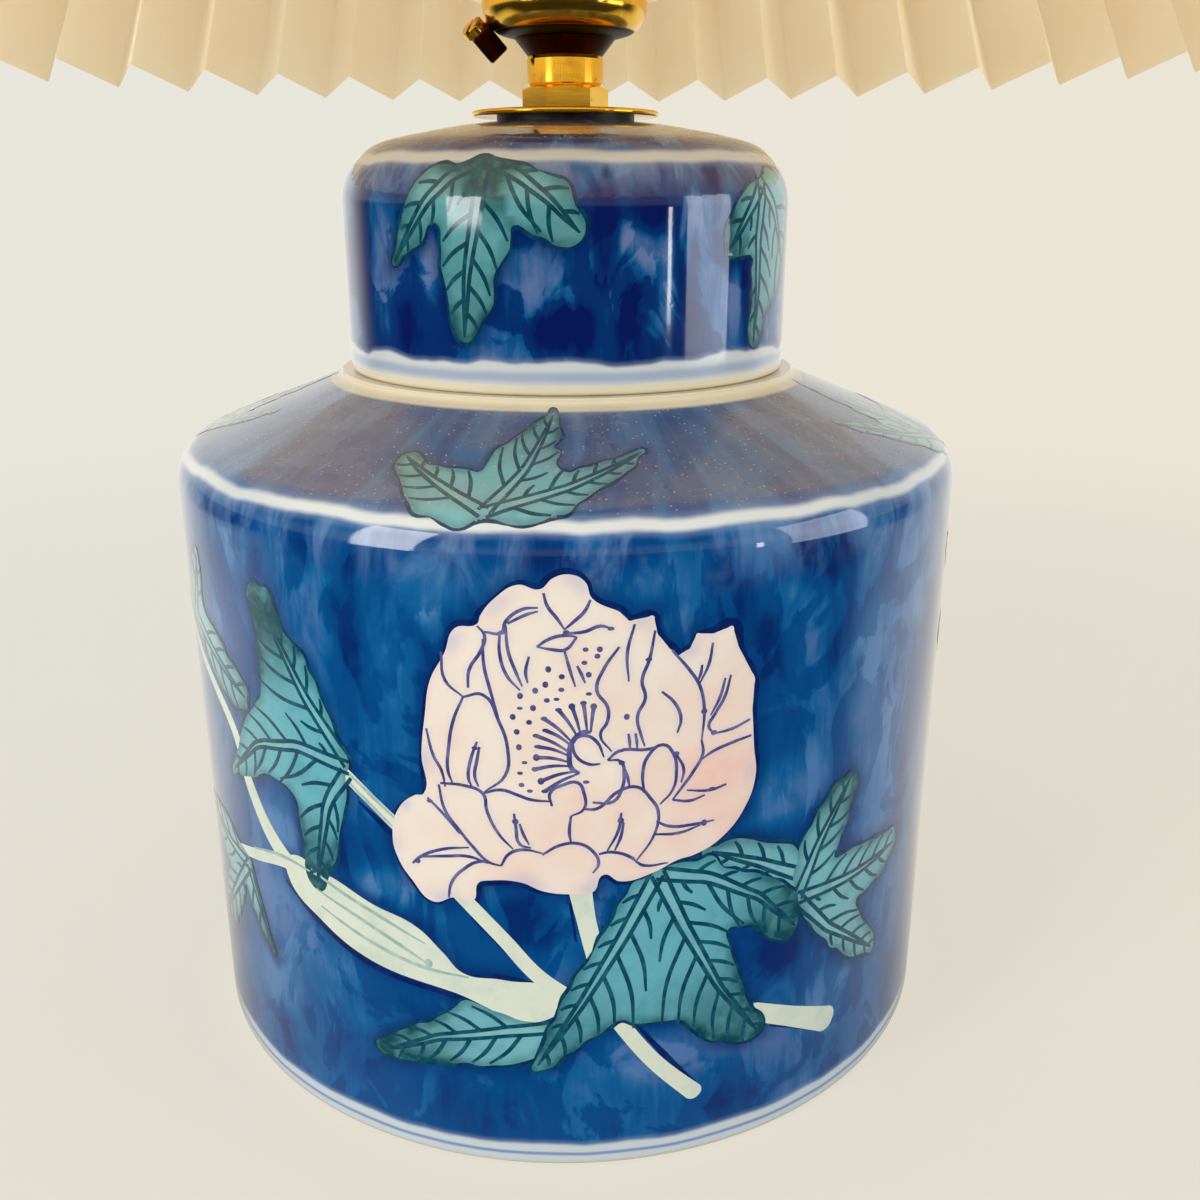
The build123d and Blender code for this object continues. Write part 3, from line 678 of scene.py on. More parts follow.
shoulderLeaf = {
    "outline": [(-36.3, 143.3), (-37.5, 142), (-36.9, 139.5), (-31.9, 133.3), (-26.3, 127.6),
                (-18.1, 124.9), (-15, 127), (-7.5, 126), (0, 128.3), (1.3, 130.8), (7.5, 135.8),
                (13.8, 141.4), (17.3, 145.8), (7.5, 142.6), (0, 139.5), (-2.5, 142), (-1.9, 145.8),
                (-3.1, 147), (-1.9, 150.8), (-2.5, 157), (-4.4, 159.5), (-7.5, 155.8), (-12.5, 150.8),
                (-16.3, 145.8), (-18.1, 139.5), (-22.5, 139.5), (-30, 140.8), (-35, 143.5)],
    "ribs": [([(-14.4, 128.3), (-24, 134.5), (-36, 142.2)], 0.3),
             ([(-14.4, 128.3), (-9, 140), (-4.2, 157.5)], 0.5),
             ([(-14.4, 128.3), (0, 135.2), (16.3, 145)], 0.3)],
    "pale": 0.45,
}
lidLeaf = {
    "outline": [(-15.8, 42.1), (-10, 40.4), (-5, 39.2), (0, 36.7), (1.7, 33.3), (3.1, 30), (2.1, 26.7),
                (-1.7, 26.3), (-5.8, 28.3), (-9.2, 29.6), (-10.4, 25.8), (-12.9, 20.8), (-13.8, 15.8),
                (-16.7, 10.8), (-19.2, 9.3), (-21.3, 11.7), (-22.5, 16.7), (-23.3, 22.5), (-23.8, 29.2),
                (-25.8, 30), (-27.5, 26.7), (-30.8, 25), (-34.2, 22.5), (-35.8, 22.5), (-33.3, 28.3),
                (-31.7, 33.3), (-28.3, 37.5), (-25.8, 40), (-20.8, 40), (-18.3, 40.8)],
    "ribs": [([(-15, 40.8), (-15.8, 33.3), (-18.3, 21.7), (-19.2, 10.2)], 0.5),
             ([(-15, 40.8), (-20, 39.2), (-26.7, 33.3), (-35, 23)], 0.5),
             ([(-15, 40.8), (-10, 39.2), (-3.3, 34.2), (2.3, 28.5)], 0.3)],
    "pale": 0.25, "root": 1.0,
}
lidSideLeaf = {
    "outline": [(39.2, 36.7), (34.2, 33.3), (31.3, 28.3), (32.5, 23.3), (36.7, 24.2), (39.6, 23.3),
                (40, 16.7), (39.2, 9.2), (41.3, 6.5), (43.3, 8.3), (45.8, 12.5), (52.5, 18.3),
                (55.8, 25.8), (56.7, 33.3), (55, 39.2), (47.5, 40), (43.3, 37.5)],
    "ribs": [([(43, 37), (41.6, 27), (42, 17), (41.2, 7.5)], 0.4),
             ([(43, 37), (37.5, 31), (32.6, 25)], 0.8), ([(43, 37), (49, 31), (54, 22)], 0.2)],
    "pale": 0.45,
}


def moved(leaf, side, along, mirror=False):  # the same leaf drawn elsewhere
    def shift(points):
        return [((-x if mirror else x) + side, y + along) for x, y in points]
    outline = shift(leaf["outline"])
    return {"outline": outline[::-1] if mirror else outline,
            "ribs": [(shift(points), tip) for points, tip in leaf["ribs"]], "pale": leaf["pale"],
            "root": leaf.get("root", 0)}


jarLeaves = [farHighLeaf, farLowLeaf, backLobe, rightLeaf, lowLeaf, bigLeaf, leftLeaf, shoulderLeaf]
jarLeaves += [moved(leftLeaf, -99, 3), moved(lowLeaf, -152, 20), moved(bigLeaf, 172, -6),  # round the back
              moved(leftLeaf, 128, 2, True), moved(rightLeaf, 176, 36, True), moved(lowLeaf, 98, 76, True),
              moved(rightLeaf, 182, 41), moved(leftLeaf, -177, -22),
              moved(shoulderLeaf, 96, 0, True), moved(shoulderLeaf, -118, 0), moved(shoulderLeaf, 200, 0)]
lidLeaves = [lidLeaf, lidSideLeaf, moved(lidLeaf, 122, 0), moved(lidLeaf, -112, 0, True)]

vein = {
    "gap": 5.0, "lean": math.radians(46), "bend": math.radians(14), "reach": 26.0, "width": 0.82, "rib": 2.4,
    "sample": 0.5, "ahead": 0.3, "stride": 0.4, "shortest": 1.6, "knee": 0.55, "end": 0.5,
}
leafTone = {
    "tip": (0.35, 0.92), "root": (0.12, 0.45), "rib": (0.5, 1.5), "ribPale": 0.35, "edge": (0.1, 2.0),
    "edgeDark": 0.45,
}
leafRim = {"width": 1.15, "swing": 0.7}


def leafVeins(leaf):  # each rib is a pair of lines that close at the tip, with veins off both sides
    strokes = []
    ribLines = [densePoints(points, gap=vein["sample"]) for points, tip in leaf["ribs"]]
    for which, line in enumerate(ribLines):
        others = [other for k, other in enumerate(ribLines) if k != which]
        heading = np.gradient(line, axis=0)
        heading /= np.linalg.norm(heading, axis=1)[:, None]
        across = np.stack([-heading[:, 1], heading[:, 0]], axis=1)
        half = vein["rib"] / 2 * np.linspace(1, 0, len(line))[:, None] ** 0.7
        knots = np.linspace(0, len(line) - 1, max(3, len(line) // 6)).round().astype(int)
        step = int(vein["gap"] / vein["sample"])
        for sign in (-1, 1):
            side = line + across * sign * half
            edge = [tuple(place) for place in side[knots]]
            strokes.append((edge, taper(edge, vein["width"], 0.9, 0.5), False))
            for start in range(step, len(line) - 5, step):
                at = min(start + (step // 2 if sign > 0 else 0), len(line) - 4)
                root = side[at]
                turn = math.atan2(heading[at][1], heading[at][0]) + sign * vein["lean"]
                reach = 0.0
                while reach < vein["reach"]:
                    tip = root + (reach + vein["ahead"]) * np.array([math.cos(turn), math.sin(turn)])
                    own = np.hypot(*(line - tip).T).min()
                    crossed = any(np.hypot(*(other - tip).T).min() < own for other in others)
                    if crossed or not inside(tip, leaf["outline"]):
                        break
                    reach += vein["stride"]
                if reach > vein["shortest"]:
                    middle = root + vein["knee"] * reach * np.array([math.cos(turn), math.sin(turn)])
                    bent = turn - sign * vein["bend"]
                    end = middle + vein["end"] * reach * np.array([math.cos(bent), math.sin(bent)])
                    points = [tuple(root), tuple(middle), tuple(end)]
                    strokes.append((points, taper(points, vein["width"], 0.95, 0.55), False))
    return strokes


def leafShades(leaf, places):  # how dark and how pale each point of a leaf is
    edge = nearest(places, densePoints(leaf["outline"], True))[0]
    best = np.full(len(places), 1e9)
    dark = np.zeros(len(places))
    for points, tip in leaf["ribs"]:
        gap, along = nearest(places, densePoints(points, gap=vein["sample"]))
        closer = gap < best
        best[closer] = gap[closer]
        rootDark = leaf.get("root", 0) * (1 - softStep(along[closer], *leafTone["root"]))
        dark[closer] = tip * softStep(along[closer], *leafTone["tip"]) + rootDark
    pale = leaf["pale"] + leafTone["ribPale"] * (1 - softStep(best, *leafTone["rib"]))
    dark += leafTone["edgeDark"] * (1 - softStep(edge, *leafTone["edge"]))
    return np.clip(dark, 0, 1), np.clip(pale, 0, 1)


def paintLeaves(name, leaves, onto):
    fills = []
    veins = []
    rims = []
    for index, leaf in enumerate(leaves):
        lift = enamel["leaf"] + enamel["layer"] * leaf.get("layer", 0)
        edge = ragged(leaf["outline"])
        fill, places = fillShape(f"{name}_{index}", edge, onto, lift)
        dark, pale = leafShades(leaf, places)
        setValues(fill, "dark", dark)
        setValues(fill, "pale", pale)
        fills.append(fill)
        veins.append(inkStrokes(f"{name}_veins_{index}", leafVeins(leaf), onto, lift + enamel["ink"]))
        rim = (edge, uneven(edge, leafRim["width"], leafRim["swing"]), True)
        rims.append(inkStrokes(f"{name}_rims_{index}", [rim], onto, lift - enamel["rim"]))
    return (joinPieces(fills, name), joinPieces(veins, name + "_veins"), joinPieces(rims, name + "_rims"))


jarLeafFill, jarLeafVeins, jarLeafRims = paintLeaves("jar_leaves", jarLeaves, ontoJar)
lidLeafFill, lidLeafVeins, lidLeafRims = paintLeaves("lid_leaves", lidLeaves, ontoLid)
print("leaves painted:", len(jarLeaves) + len(lidLeaves))

# Stems: brush lines with widths, and the thick branch as a filled shape

stems = {
    "endReach": (0.18, 0.33, 0.42), "endWidth": (0.9, 0.66, 0.3), "innerWidth": 0.8, "shadowWidth": 1.3,
    "dot": (-26.6, 43, 1.6),
    "lines": [([(-90, 87.8), (-75, 77.8), (-69.4, 66.5), (-62.5, 57.8), (-52.5, 51.5)],
               [2.4, 2.8, 3.4, 4.0, 4.4]),
              ([(-79.4, 49.6), (-70, 52), (-58.8, 54.6), (-47.5, 54)], [2.0, 2.4, 2.6, 2.4]),
              ([(-20, 58.5), (-12.5, 50.3), (-6.3, 42.8), (-1.3, 38.6)], [2.8, 2.8, 2.9, 3.2]),
              ([(1.3, 61), (2.4, 54.5), (4.2, 46)], [4.2, 3.4, 3.2]),
              ([(8, 33), (14.5, 23.5), (22.8, 14.4)], [3.0, 3.1, 3.6]),
              ([(35, 29), (44, 24.6), (53.8, 19.6)], [3.8, 4.3, 5.6]),
              ([(-41.6, 78.3), (-36, 74), (-30, 69.2)], [2.6, 2.5, 2.7]),
              ([(-90, 87.8), (-106, 97), (-124, 97), (-139, 84)], [2.4, 2.2, 2.2, 2.0]),  # round the back
              ([(-124, 97), (-140, 84), (-150, 66), (-156, 52)], [2.0, 2.2, 2.4, 2.6]),
              ([(-150, 66), (-170, 67), (-194, 63), (-218, 58)], [2.4, 2.4, 2.2, 2.0]),
              ([(236, 16), (214, 32), (190, 57), (168, 82), (150, 91), (132, 92)],
               [5.2, 4.2, 3.8, 3.2, 2.6, 2.2]),
              ([(190, 57), (206, 78), (226, 92)], [2.4, 2.2, 1.8]),
              ([(132, 92), (116, 101), (99, 108)], [2.2, 2, 1.8])],
    "branch": [(-58.8, 55.9), (-47.5, 55.9), (-37.5, 52.8), (-28.8, 50.3), (-23.8, 45.9), (-20, 42.1),
               (-12.5, 41.5), (-2.5, 39), (-3.8, 34), (-22.5, 37.8), (-40, 40.9), (-50, 45.3),
               (-58.8, 51.5)],
    "inner": [[(-51, 52), (-40, 48.8), (-32, 45.5), (-27, 43)],
              [(-50, 48.6), (-38, 44.5), (-28, 42), (-19, 41.3)],
              [(-41, 78.7), (-36, 75), (-31.2, 71.3)], [(-41.4, 77.2), (-36, 72.9), (-31.8, 69.6)],
              [(-71, 53.2), (-60, 55.6), (-50, 55)], [(-52, 55.8), (-44, 53.2), (-36, 50.6), (-27, 47)]],
    "shadow": [[(-60, 50.4), (-50, 44.4), (-40, 40), (-22.5, 36.9), (-4, 33.2)],
               [(-24, 45), (-20, 41.7), (-12.5, 42), (-3, 40)],
               [(-18, 54), (-11.5, 47.6), (-6.8, 41.8)], [(5.4, 53), (6.3, 48)],
               [(-0.4, 58), (0.6, 50)], [(10.6, 33), (17, 24), (24, 15.4)],
               [(-39, 73.4), (-34, 69.6), (-31, 66.4)], [(39, 24.4), (46, 21.4), (53, 17)],
               [(-73, 74.5), (-67.6, 64), (-60.5, 55.2)]],
}


def bluntEnds(points, widths):  # a stem's ends round off, as a loaded brush leaves them
    def beyond(end, before, width):
        unit = 1 / math.dist(end, before)
        return [tuple(end[axis] + (end[axis] - before[axis]) * reach * width * unit for axis in (0, 1))
                for reach in stems["endReach"]]
    heads = beyond(points[0], points[1], widths[0])[::-1]
    tails = beyond(points[-1], points[-2], widths[-1])
    closing = [share * widths[-1] for share in stems["endWidth"]]
    opening = [share * widths[0] for share in stems["endWidth"][::-1]]
    return heads + points + tails, opening + widths + closing


def paintStems():
    branch = fillShape("stem_branch", stems["branch"], ontoJar, enamel["branch"])[0]
    runs = [(*bluntEnds(points, widths), False) for points, widths in stems["lines"]]
    lines = inkStrokes("stem_lines", runs, ontoJar, enamel["stem"], enamel["cell"])
    fill = joinPieces([branch, lines], "jar_stems")
    inner = [(points, taper(points, stems["innerWidth"]), False) for points in stems["inner"]]
    detail = inkStrokes("jar_stem_lines", inner, ontoJar, enamel["stemInk"])
    return fill, detail


stemFill, stemLines = paintStems()
stemDot = fillDots("stem_dot", [stems["dot"]], ontoJar, enamel["stemDot"])
stemLines = joinPieces([stemLines, stemDot], "jar_stem_lines")
print("stems painted")

# The flower: one petal ground, its brush lines, stamens and dots

peony = {
    "outline": [(-25.8, 77.5), (-25.8, 85), (-24.8, 92.5), (-23.6, 98.8), (-20.8, 104), (-18.9, 108.4),
                (-15.1, 109.4), (-14.5, 110.9), (-12, 114), (-8.3, 116.3), (-4.8, 115.6), (-2.6, 117.5),
                (-0.1, 118.1), (2.4, 116.9), (3.6, 114), (8, 111.6), (9.6, 110), (13.6, 110.6),
                (14.3, 107.5), (16.4, 104.7), (18, 103.4), (19.9, 104.4), (21.1, 106.9), (23.9, 106.6),
                (27.4, 107.5), (28.6, 103.8), (32, 97.5), (31.8, 91.9), (32.4, 85), (33, 78.8),
                (31.1, 73.1), (26.8, 68.1), (21.8, 65.6), (18.6, 65), (14.3, 63.1), (8.3, 61.9),
                (5.5, 63.4), (3.6, 60), (-0.1, 59.7), (-5.1, 60.3), (-8.9, 61.9), (-14.5, 61.9),
                (-16.4, 61.3), (-17.6, 57.5), (-20.8, 57.8), (-25.1, 56.3), (-28.9, 60), (-31.4, 63.8),
                (-32.3, 68.1), (-30.8, 73.8), (-27.6, 76.9)],
    "lines": [
        [(-17.9, 96.4), (-14.5, 97), (-12, 92.5), (-10.6, 87.5), (-11.1, 82.5), (-14.8, 79.1)],
        [(-17.9, 96.4), (-19.8, 91.9), (-20.8, 86.9), (-21.1, 82.5), (-20.4, 80.3)],
        [(-21.4, 104.1), (-20.9, 99.1), (-17.9, 96.4)],
        [(-24.7, 90), (-23.6, 85), (-22.3, 82.5), (-21.7, 79.4)],
        [(-15.8, 88.4), (-17, 85), (-17.5, 81.3), (-17, 80)],
        [(-15.4, 87.5), (-15.9, 85), (-16.4, 81.9), (-15.8, 80)],
        [(-17, 98.1), (-16.7, 101.3), (-14.5, 105), (-13.9, 107.5), (-15.1, 109.1)],
        [(-14.2, 106.9), (-14.2, 102.5), (-13.3, 98.1), (-12, 93.1)],
        [(-11.4, 108.1), (-11.5, 104.4), (-10.4, 100.6), (-8.3, 98.1)],
        [(-10.4, 109.4), (-10.1, 105), (-8.9, 101.3), (-7.9, 98.8)],
        [(-13.9, 108.1), (-11.1, 108.1), (-10.4, 110), (-7.6, 112.2), (-5.1, 112.5)],
        [(-10.1, 109.7), (-7, 111.3), (-5.1, 111.9)],
        [(-4.2, 115), (-3.6, 112.8), (-2, 110.6), (-0.9, 108.8)],
        [(3.3, 113.8), (2.4, 111.9), (0.8, 110.3), (-0.9, 108.8)],
        [(-0.8, 108.1), (2.4, 108.4), (4.9, 109.3), (6.8, 108.8)],
        [(-5.4, 105.8), (-3.3, 107.2), (-0.8, 107.8), (1.1, 107.5)],
        [(1.1, 107.5), (-0.8, 105.3), (-2.6, 105.3), (-5.4, 105.8)],
        [(-6.7, 104.1), (-7.3, 101.3), (-7, 99.4)], [(-0.9, 105), (-0.1, 101.9), (0.8, 98.8)],
        [(1.1, 102.5), (1.8, 101), (2.4, 99.4)], [(0.2, 88.8), (0.8, 86.3), (3, 84.7), (4.9, 84.7)],
        [(0.5, 89.4), (2.4, 90), (4.3, 88.8), (5.5, 85.9)],
        [(8, 105.6), (5.5, 101.9), (4.3, 98.1), (6.1, 95), (6.1, 92.5), (4.9, 90), (6.8, 86.9)],
        [(10.5, 109.4), (9.3, 104.4), (9.6, 99.4)],
        [(13.9, 108.1), (13, 103.1), (11.8, 99.4), (12.4, 96.3), (11.1, 93.1), (11.8, 89.4),
         (12.4, 87.5)],
        [(16.8, 104.4), (19.9, 100.6), (21.8, 97.5), (22.7, 93.1), (22.4, 87.5)],
        [(15.2, 97.2), (17.4, 95), (18.6, 91.9), (18, 89.4)], [(9.6, 90), (9.8, 88.6), (9.9, 87.2)],
        [(10.8, 90), (11, 88.6), (11.1, 87.2)], [(23.9, 105), (23.3, 101.3), (21.8, 98.1)],
        [(22.1, 101.3), (21.9, 99.8), (21.4, 98.4)],
        [(27.4, 98.8), (26.4, 95), (24.6, 91.9), (23.6, 90), (24.6, 88.4)],
        [(26.4, 98.4), (25.5, 95), (23.9, 91.9)], [(31.4, 90), (28, 88.8), (24.3, 88.4)],
        [(31.8, 86.9), (28.6, 86.3), (24.3, 85), (22.4, 83.8)],
        [(27.3, 78.4), (24.3, 77.8), (19.9, 78.4)], [(17.4, 76.9), (20.5, 76.3), (23.3, 77)],
        [(14.6, 73.1), (16.8, 71.9), (21.8, 71.6), (25.2, 71.8)],
        [(14.3, 70.6), (18.6, 70.3), (22.7, 71.3)],
        [(-3.3, 76.9), (-3.6, 79.4), (-1.4, 80.9), (1.1, 81.3), (2.1, 79.4), (2.1, 76.3), (-0.1, 75)],
        [(3.6, 77.5), (7.1, 77.5), (8.6, 80), (8.9, 82.5), (8.3, 85), (6.1, 85.3)],
        [(8.9, 83.8), (9.5, 82), (9.9, 80)],
        [(12.4, 78.8), (12.1, 82.5), (13, 85.6), (15.5, 87.5), (17.4, 85.6), (18, 82.5), (17.4, 78.8),
         (15.2, 76.3)],
        [(18, 85.3), (19.3, 82.5), (18.9, 80)],
        [(22.4, 87.5), (22.7, 85), (21.1, 81.9), (19.3, 79.4), (17.4, 76.9)],
        [(6.1, 85.3), (8, 86.9), (13, 86.9), (15.5, 87.5)],
        [(-22.6, 80), (-18.3, 80), (-15.1, 78.8), (-14.5, 75.6), (-12.6, 71.3), (-10.1, 68.4)],
        [(-22.9, 79.7), (-22, 75), (-19.5, 71.3), (-17, 68.1), (-14.5, 65.6), (-12.3, 65)],
        [(-25.1, 76.9), (-22, 73.8), (-19.5, 70.6)],
        [(-15.1, 78.8), (-12, 79.7), (-8.9, 78.8), (-7, 78.1), (-3.3, 77.8)],
        [(-9.8, 75.3), (-9.5, 72.5), (-8.9, 69.4), (-7, 68.8)],
        [(-8.9, 73.4), (-8.2, 71.2), (-7.3, 69.4)], [(-0.1, 75), (-0.4, 71.9), (-0.1, 69.7)],
        [(2.1, 76.3), (4.3, 76.3), (8, 79.4), (11.1, 80), (13.6, 77.5), (14.9, 75), (14.3, 70.6),
         (11.1, 65.6)],
        [(8.5, 75.3), (8, 71.9), (6.1, 68.1)], [(8.9, 73.4), (8.4, 70.6), (7.4, 68.1)],
        [(-12.3, 65), (-10.8, 67.5), (-8.3, 68.4), (-5.1, 67.8)],
        [(-5.1, 67.5), (-2, 69.4), (1.1, 69.7), (3.6, 68.1), (4.6, 65.6), (3.6, 63.8)],
        [(4.6, 67.5), (6.8, 67.8), (10.5, 66.3), (11.1, 65.6)],
        [(11.1, 65.6), (12.4, 64.7), (16.8, 64.7)],
        [(-28.6, 63.4), (-27, 65), (-22.6, 67.2), (-17.9, 68.1)],
        [(-27, 65), (-22, 65.9), (-17.9, 66.3), (-14.5, 65.3)],
        [(-22, 57.5), (-21.4, 60.6), (-18.9, 63.8), (-15.8, 65.6), (-12.6, 65)]],
    "pistil": [(3.3, 90.6), (2.1, 90.6), (0.2, 88.8), (-0.3, 86.3), (0.2, 83.8), (1.4, 83.1)],
    "anthers": [(3.8, 95.2), (2.1, 95.9), (0.2, 95.3), (-2, 94.7), (-4.4, 93.1), (-4.2, 91), (-5.8, 90),
                (-5.6, 88), (-5.8, 86), (-6.1, 83.8), (-5.1, 81.6), (-4.5, 79.7)],
    "pollen": [(-3.6, 101.9), (-1.4, 100.6), (-4.1, 99.2), (-5.8, 98.1), (-1.5, 98.3), (-3.9, 96.4),
               (-8.3, 97.1), (-8.4, 94.9), (-6.2, 95), (-2.3, 96.6), (-9.6, 93.3), (-6.9, 92.4),
               (-9, 90.6), (-8.7, 87.8), (-7.8, 85), (-8.6, 83), (-8.4, 80.8), (-7, 79.7), (3, 97.5),
               (3, 100.9), (2.3, 103), (4.4, 104.1), (2.5, 105.3), (4.8, 105.3), (9.3, 93.1)],
    "ticks": [(-16.2, 87.2), (-11.1, 108.1), (-0.6, 108.3), (6.6, 108.8), (12.9, 103.1), (22.7, 92.8),
              (24.6, 88.6), (24.6, 78), (23.3, 71.6), (2.5, 81.4), (8.5, 84.7), (17.9, 85.6),
              (-24.7, 76.3), (-9.6, 73.8), (8.4, 73.8), (-27.6, 64.1)],
    "blush": [(25, 80, 11, 1.0), (29, 72, 7, 0.9), (15, 81, 6, 0.6), (0, 70, 9, 0.55), (11, 67, 7, 0.6),
              (-14, 72, 6, 0.3), (25, 92, 8, 0.55), (-20.5, 88, 4, 0.4), (-10, 64, 6, 0.5),
              (2, 78, 5, 0.5), (-5, 90, 7, 0.25), (8, 75, 6, 0.6), (-22, 82, 4, 0.45), (8, 95, 6, 0.3),
              (0, 100, 6, 0.2), (19, 70, 6, 0.7)],
    "lilac": [(-19.5, 106, 3.5), (-24.5, 84, 4), (-23, 57.5, 4), (20, 104, 3), (1, 116.5, 4),
              (-31.8, 67, 2.5), (-8, 61.5, 5), (-11, 113, 4), (31.5, 80, 2.5), (3, 61, 4),
              (12, 109.5, 3), (-29.5, 75, 2)],
    "shadow": [(0, 5, 1.3), (4, 8, 2.4), (8, 14, 2.2), (13, 18, 2.2), (17, 22, 2.4), (22, 26, 2.8),
               (25, 30, 2.0), (29, 33, 0.9), (34, 37, 1.6), (38, 44, 2.2), (43, 48, 1.2), (48, 50, 1.0)],
    "tips": (15, 28), "line": 0.6, "pistilLine": 0.9, "stamen": [0.75, 0.6, 0.35], "stamenBend": 0.35,
    "cell": 1.0, "pollenWidth": 1.0, "tickWidth": 1.15, "blushShare": 0.85, "blushSpread": 1.5,
    "edgeLilac": (0.2, 1.2), "spotLilac": (0.45, 1.3), "spotEdge": (0.5, 3.5),
    "lineLilac": 0.2, "lineSpread": (0.1, 1.2),
}


def paintPeony():
    outline = crisp(peony["outline"], *peony["tips"])
    fill, places = fillShape("peony_petals", outline, ontoJar, enamel["petal"], peony["cell"])
    blush = np.zeros(len(places))
    for side, along, reach, amount in peony["blush"]:
        gap = np.hypot(places[:, 0] - side, places[:, 1] - along)
        spot = peony["blushShare"] * amount * (1 - softStep(gap, 0, reach * peony["blushSpread"]))
        blush = np.maximum(blush, spot)
    edge = nearest(places, densePoints(peony["outline"], True))[0]
    share, spread = peony["edgeLilac"]
    lilac = share * (1 - softStep(edge, 0, spread))
    share, spread = peony["spotLilac"]
    for side, along, reach in peony["lilac"]:
        gap = np.hypot(places[:, 0] - side, places[:, 1] - along)
        spot = share * (1 - softStep(gap, 0, reach * spread))
        lilac = np.maximum(lilac, spot * (1 - softStep(edge, *peony["spotEdge"])))
    for line in peony["lines"] + [peony["pistil"]]:  # cobalt bleeds from the lines
        gap = nearest(places, densePoints(line))[0]
        bleed = peony["lineLilac"] * (1 - softStep(gap, *peony["lineSpread"]))
        lilac = np.maximum(lilac, bleed)
    setValues(fill, "blush", blush)
    setValues(fill, "lilac", lilac)
    strokes = [(points, taper(points, peony["line"], 0.7, 0.5), False) for points in peony["lines"]]
    strokes.append((peony["pistil"], taper(peony["pistil"], peony["pistilLine"], 0.6, 0.6), False))
    arc = densePoints(peony["pistil"])
    for index, anther in enumerate(peony["anthers"]):
        root = arc[round(index / (len(peony["anthers"]) - 1) * (len(arc) - 1))]
        middle = ((root[0] + anther[0]) / 2, (root[1] + anther[1]) / 2 + peony["stamenBend"])
        strokes.append(([anther, middle, tuple(root)], peony["stamen"], False))
    lines = inkStrokes("peony_strokes", strokes, ontoJar, enamel["petal"] + enamel["ink"])
    dots = [(side, along, peony["pollenWidth"]) for side, along in peony["pollen"]]
    dots += [(side, along, peony["tickWidth"]) for side, along in peony["anthers"] + peony["ticks"]]
    marks = fillDots("peony_dots", dots, ontoJar, enamel["petal"] + enamel["ink"] + enamel["dot"])
    return fill, joinPieces([lines, marks], "peony_lines")


peonyFill, peonyLines = paintPeony()
shadowStrokes = []
for points in stems["shadow"]:
    shadowStrokes.append((points, taper(points, stems["shadowWidth"], 0.4, 0.3), False))
for start, end, width in peony["shadow"]:
    arc = peony["outline"][start:end + 1]
    shadowStrokes.append((arc, taper(arc, width, 0.35, 0.3), False))
shadowLines = inkStrokes("cobalt_outlines", shadowStrokes, ontoJar, enamel["shadow"])
print("flower painted")

# Cobalt ground: washes as side, along, half width, half height, tone (-1 navy to 1 pale)

jarWashes = [
    (-82, 100, 16, 30, 0.55), (-66, 42, 12, 10, 0.85), (-66, 26, 9, 12, 0.6), (-60, 61, 8, 5, 0.8),
    (-74, 116, 12, 6, 0.6), (-23, 115, 7, 7, 0.75), (-33, 106, 5, 12, 0.45), (-50, 92, 4, 16, 0.15),
    (-34, 58, 7, 4, 0.8), (-28, 78, 3, 8, 0.3), (14, 117, 9, 4, 0.35), (18, 24, 13, 6, 0.55),
    (40, 75, 9, 9, 0.85), (36, 90, 3, 10, 0.2), (60, 92, 5, 20, 0.7), (66, 70, 9, 18, 0.85),
    (55, 25, 9, 9, 0.5), (72, 105, 9, 16, 0.75), (4, 55, 3, 5, 0.5), (-45, 36, 9, 4, 0.35),
    (-20, 26, 4, 3, 0.4), (50, 62, 4, 8, 0.5), (-69, 121, 8, 2.2, -0.9), (-42, 119, 12, 4, -0.5),
    (0, 120.5, 14, 2.6, -0.6), (46, 117, 10, 5, -1.0), (27, 114, 6, 8, -0.55), (35, 100, 4, 12, -0.8),
    (-40, 98, 4, 15, -0.6), (-42, 63, 6, 6, -0.8), (-8, 54, 7, 6, -0.85), (-27, 50, 6, 3, -0.5),
    (40, 40, 6, 6, -0.8), (-4, 11, 36, 6, -0.15), (22, 13, 16, 8, -0.35), (45, 12, 14, 5, -0.2),
    (-62, 13, 8, 6, -0.4), (50, 98, 4, 16, -0.35), (77, 57, 3, 14, -0.6), (78, 18, 8, 8, -0.3),
    (-52, 20, 7, 8, -0.25),
]
lidWashes = [
    (-59, 26, 4, 18, 0.4), (3, 22, 7, 9, 0.2), (-26, 22, 3, 7, 0.75), (-4, 37, 7, 3, 0.5),
    (12, 26, 5, 7, 0.6), (18, 20, 2.4, 12, 0.6), (-8, 20, 4, 8, 0.25), (35, 16, 3, 8, 0.8),
    (48, 14, 7, 10, 0.8), (6, 15, 3, 8, 0.2), (26, 30, 4, 6, 0.3), (-12, 36, 4, 3, 0.4),
    (-47, 20, 5, 18, -1.0), (-33, 12, 4, 6, -0.7), (7, 28, 3, 12, -0.9), (11, 16, 3, 9, -1.0),
    (-1, 12, 7, 5, -0.9), (15, 32, 6, 4, -0.7), (24, 14, 2, 10, -0.4), (38, 20, 2, 9, -0.8),
    (33, 37, 12, 3, -0.5), (-21, 30, 2, 6, -0.4),
]


def flatPlaces(piece):  # each point's distance from the axis, level and turn round it
    places = np.zeros(len(piece.data.vertices) * 3)
    piece.data.vertices.foreach_get("co", places)
    places = places.reshape(-1, 3) / mm
    return np.hypot(places[:, 0], places[:, 1]), places[:, 2], np.arctan2(places[:, 0], -places[:, 1])


def onJarWall():
    spread, level, turn = flatPlaces(jarPiece)
    sloped = cornerAlong + (cornerEnd[0] - spread) / math.cos(slopeTurn)
    return np.stack([turn * jar["radius"], np.where(level > cornerEnd[1], sloped, level)], axis=1)


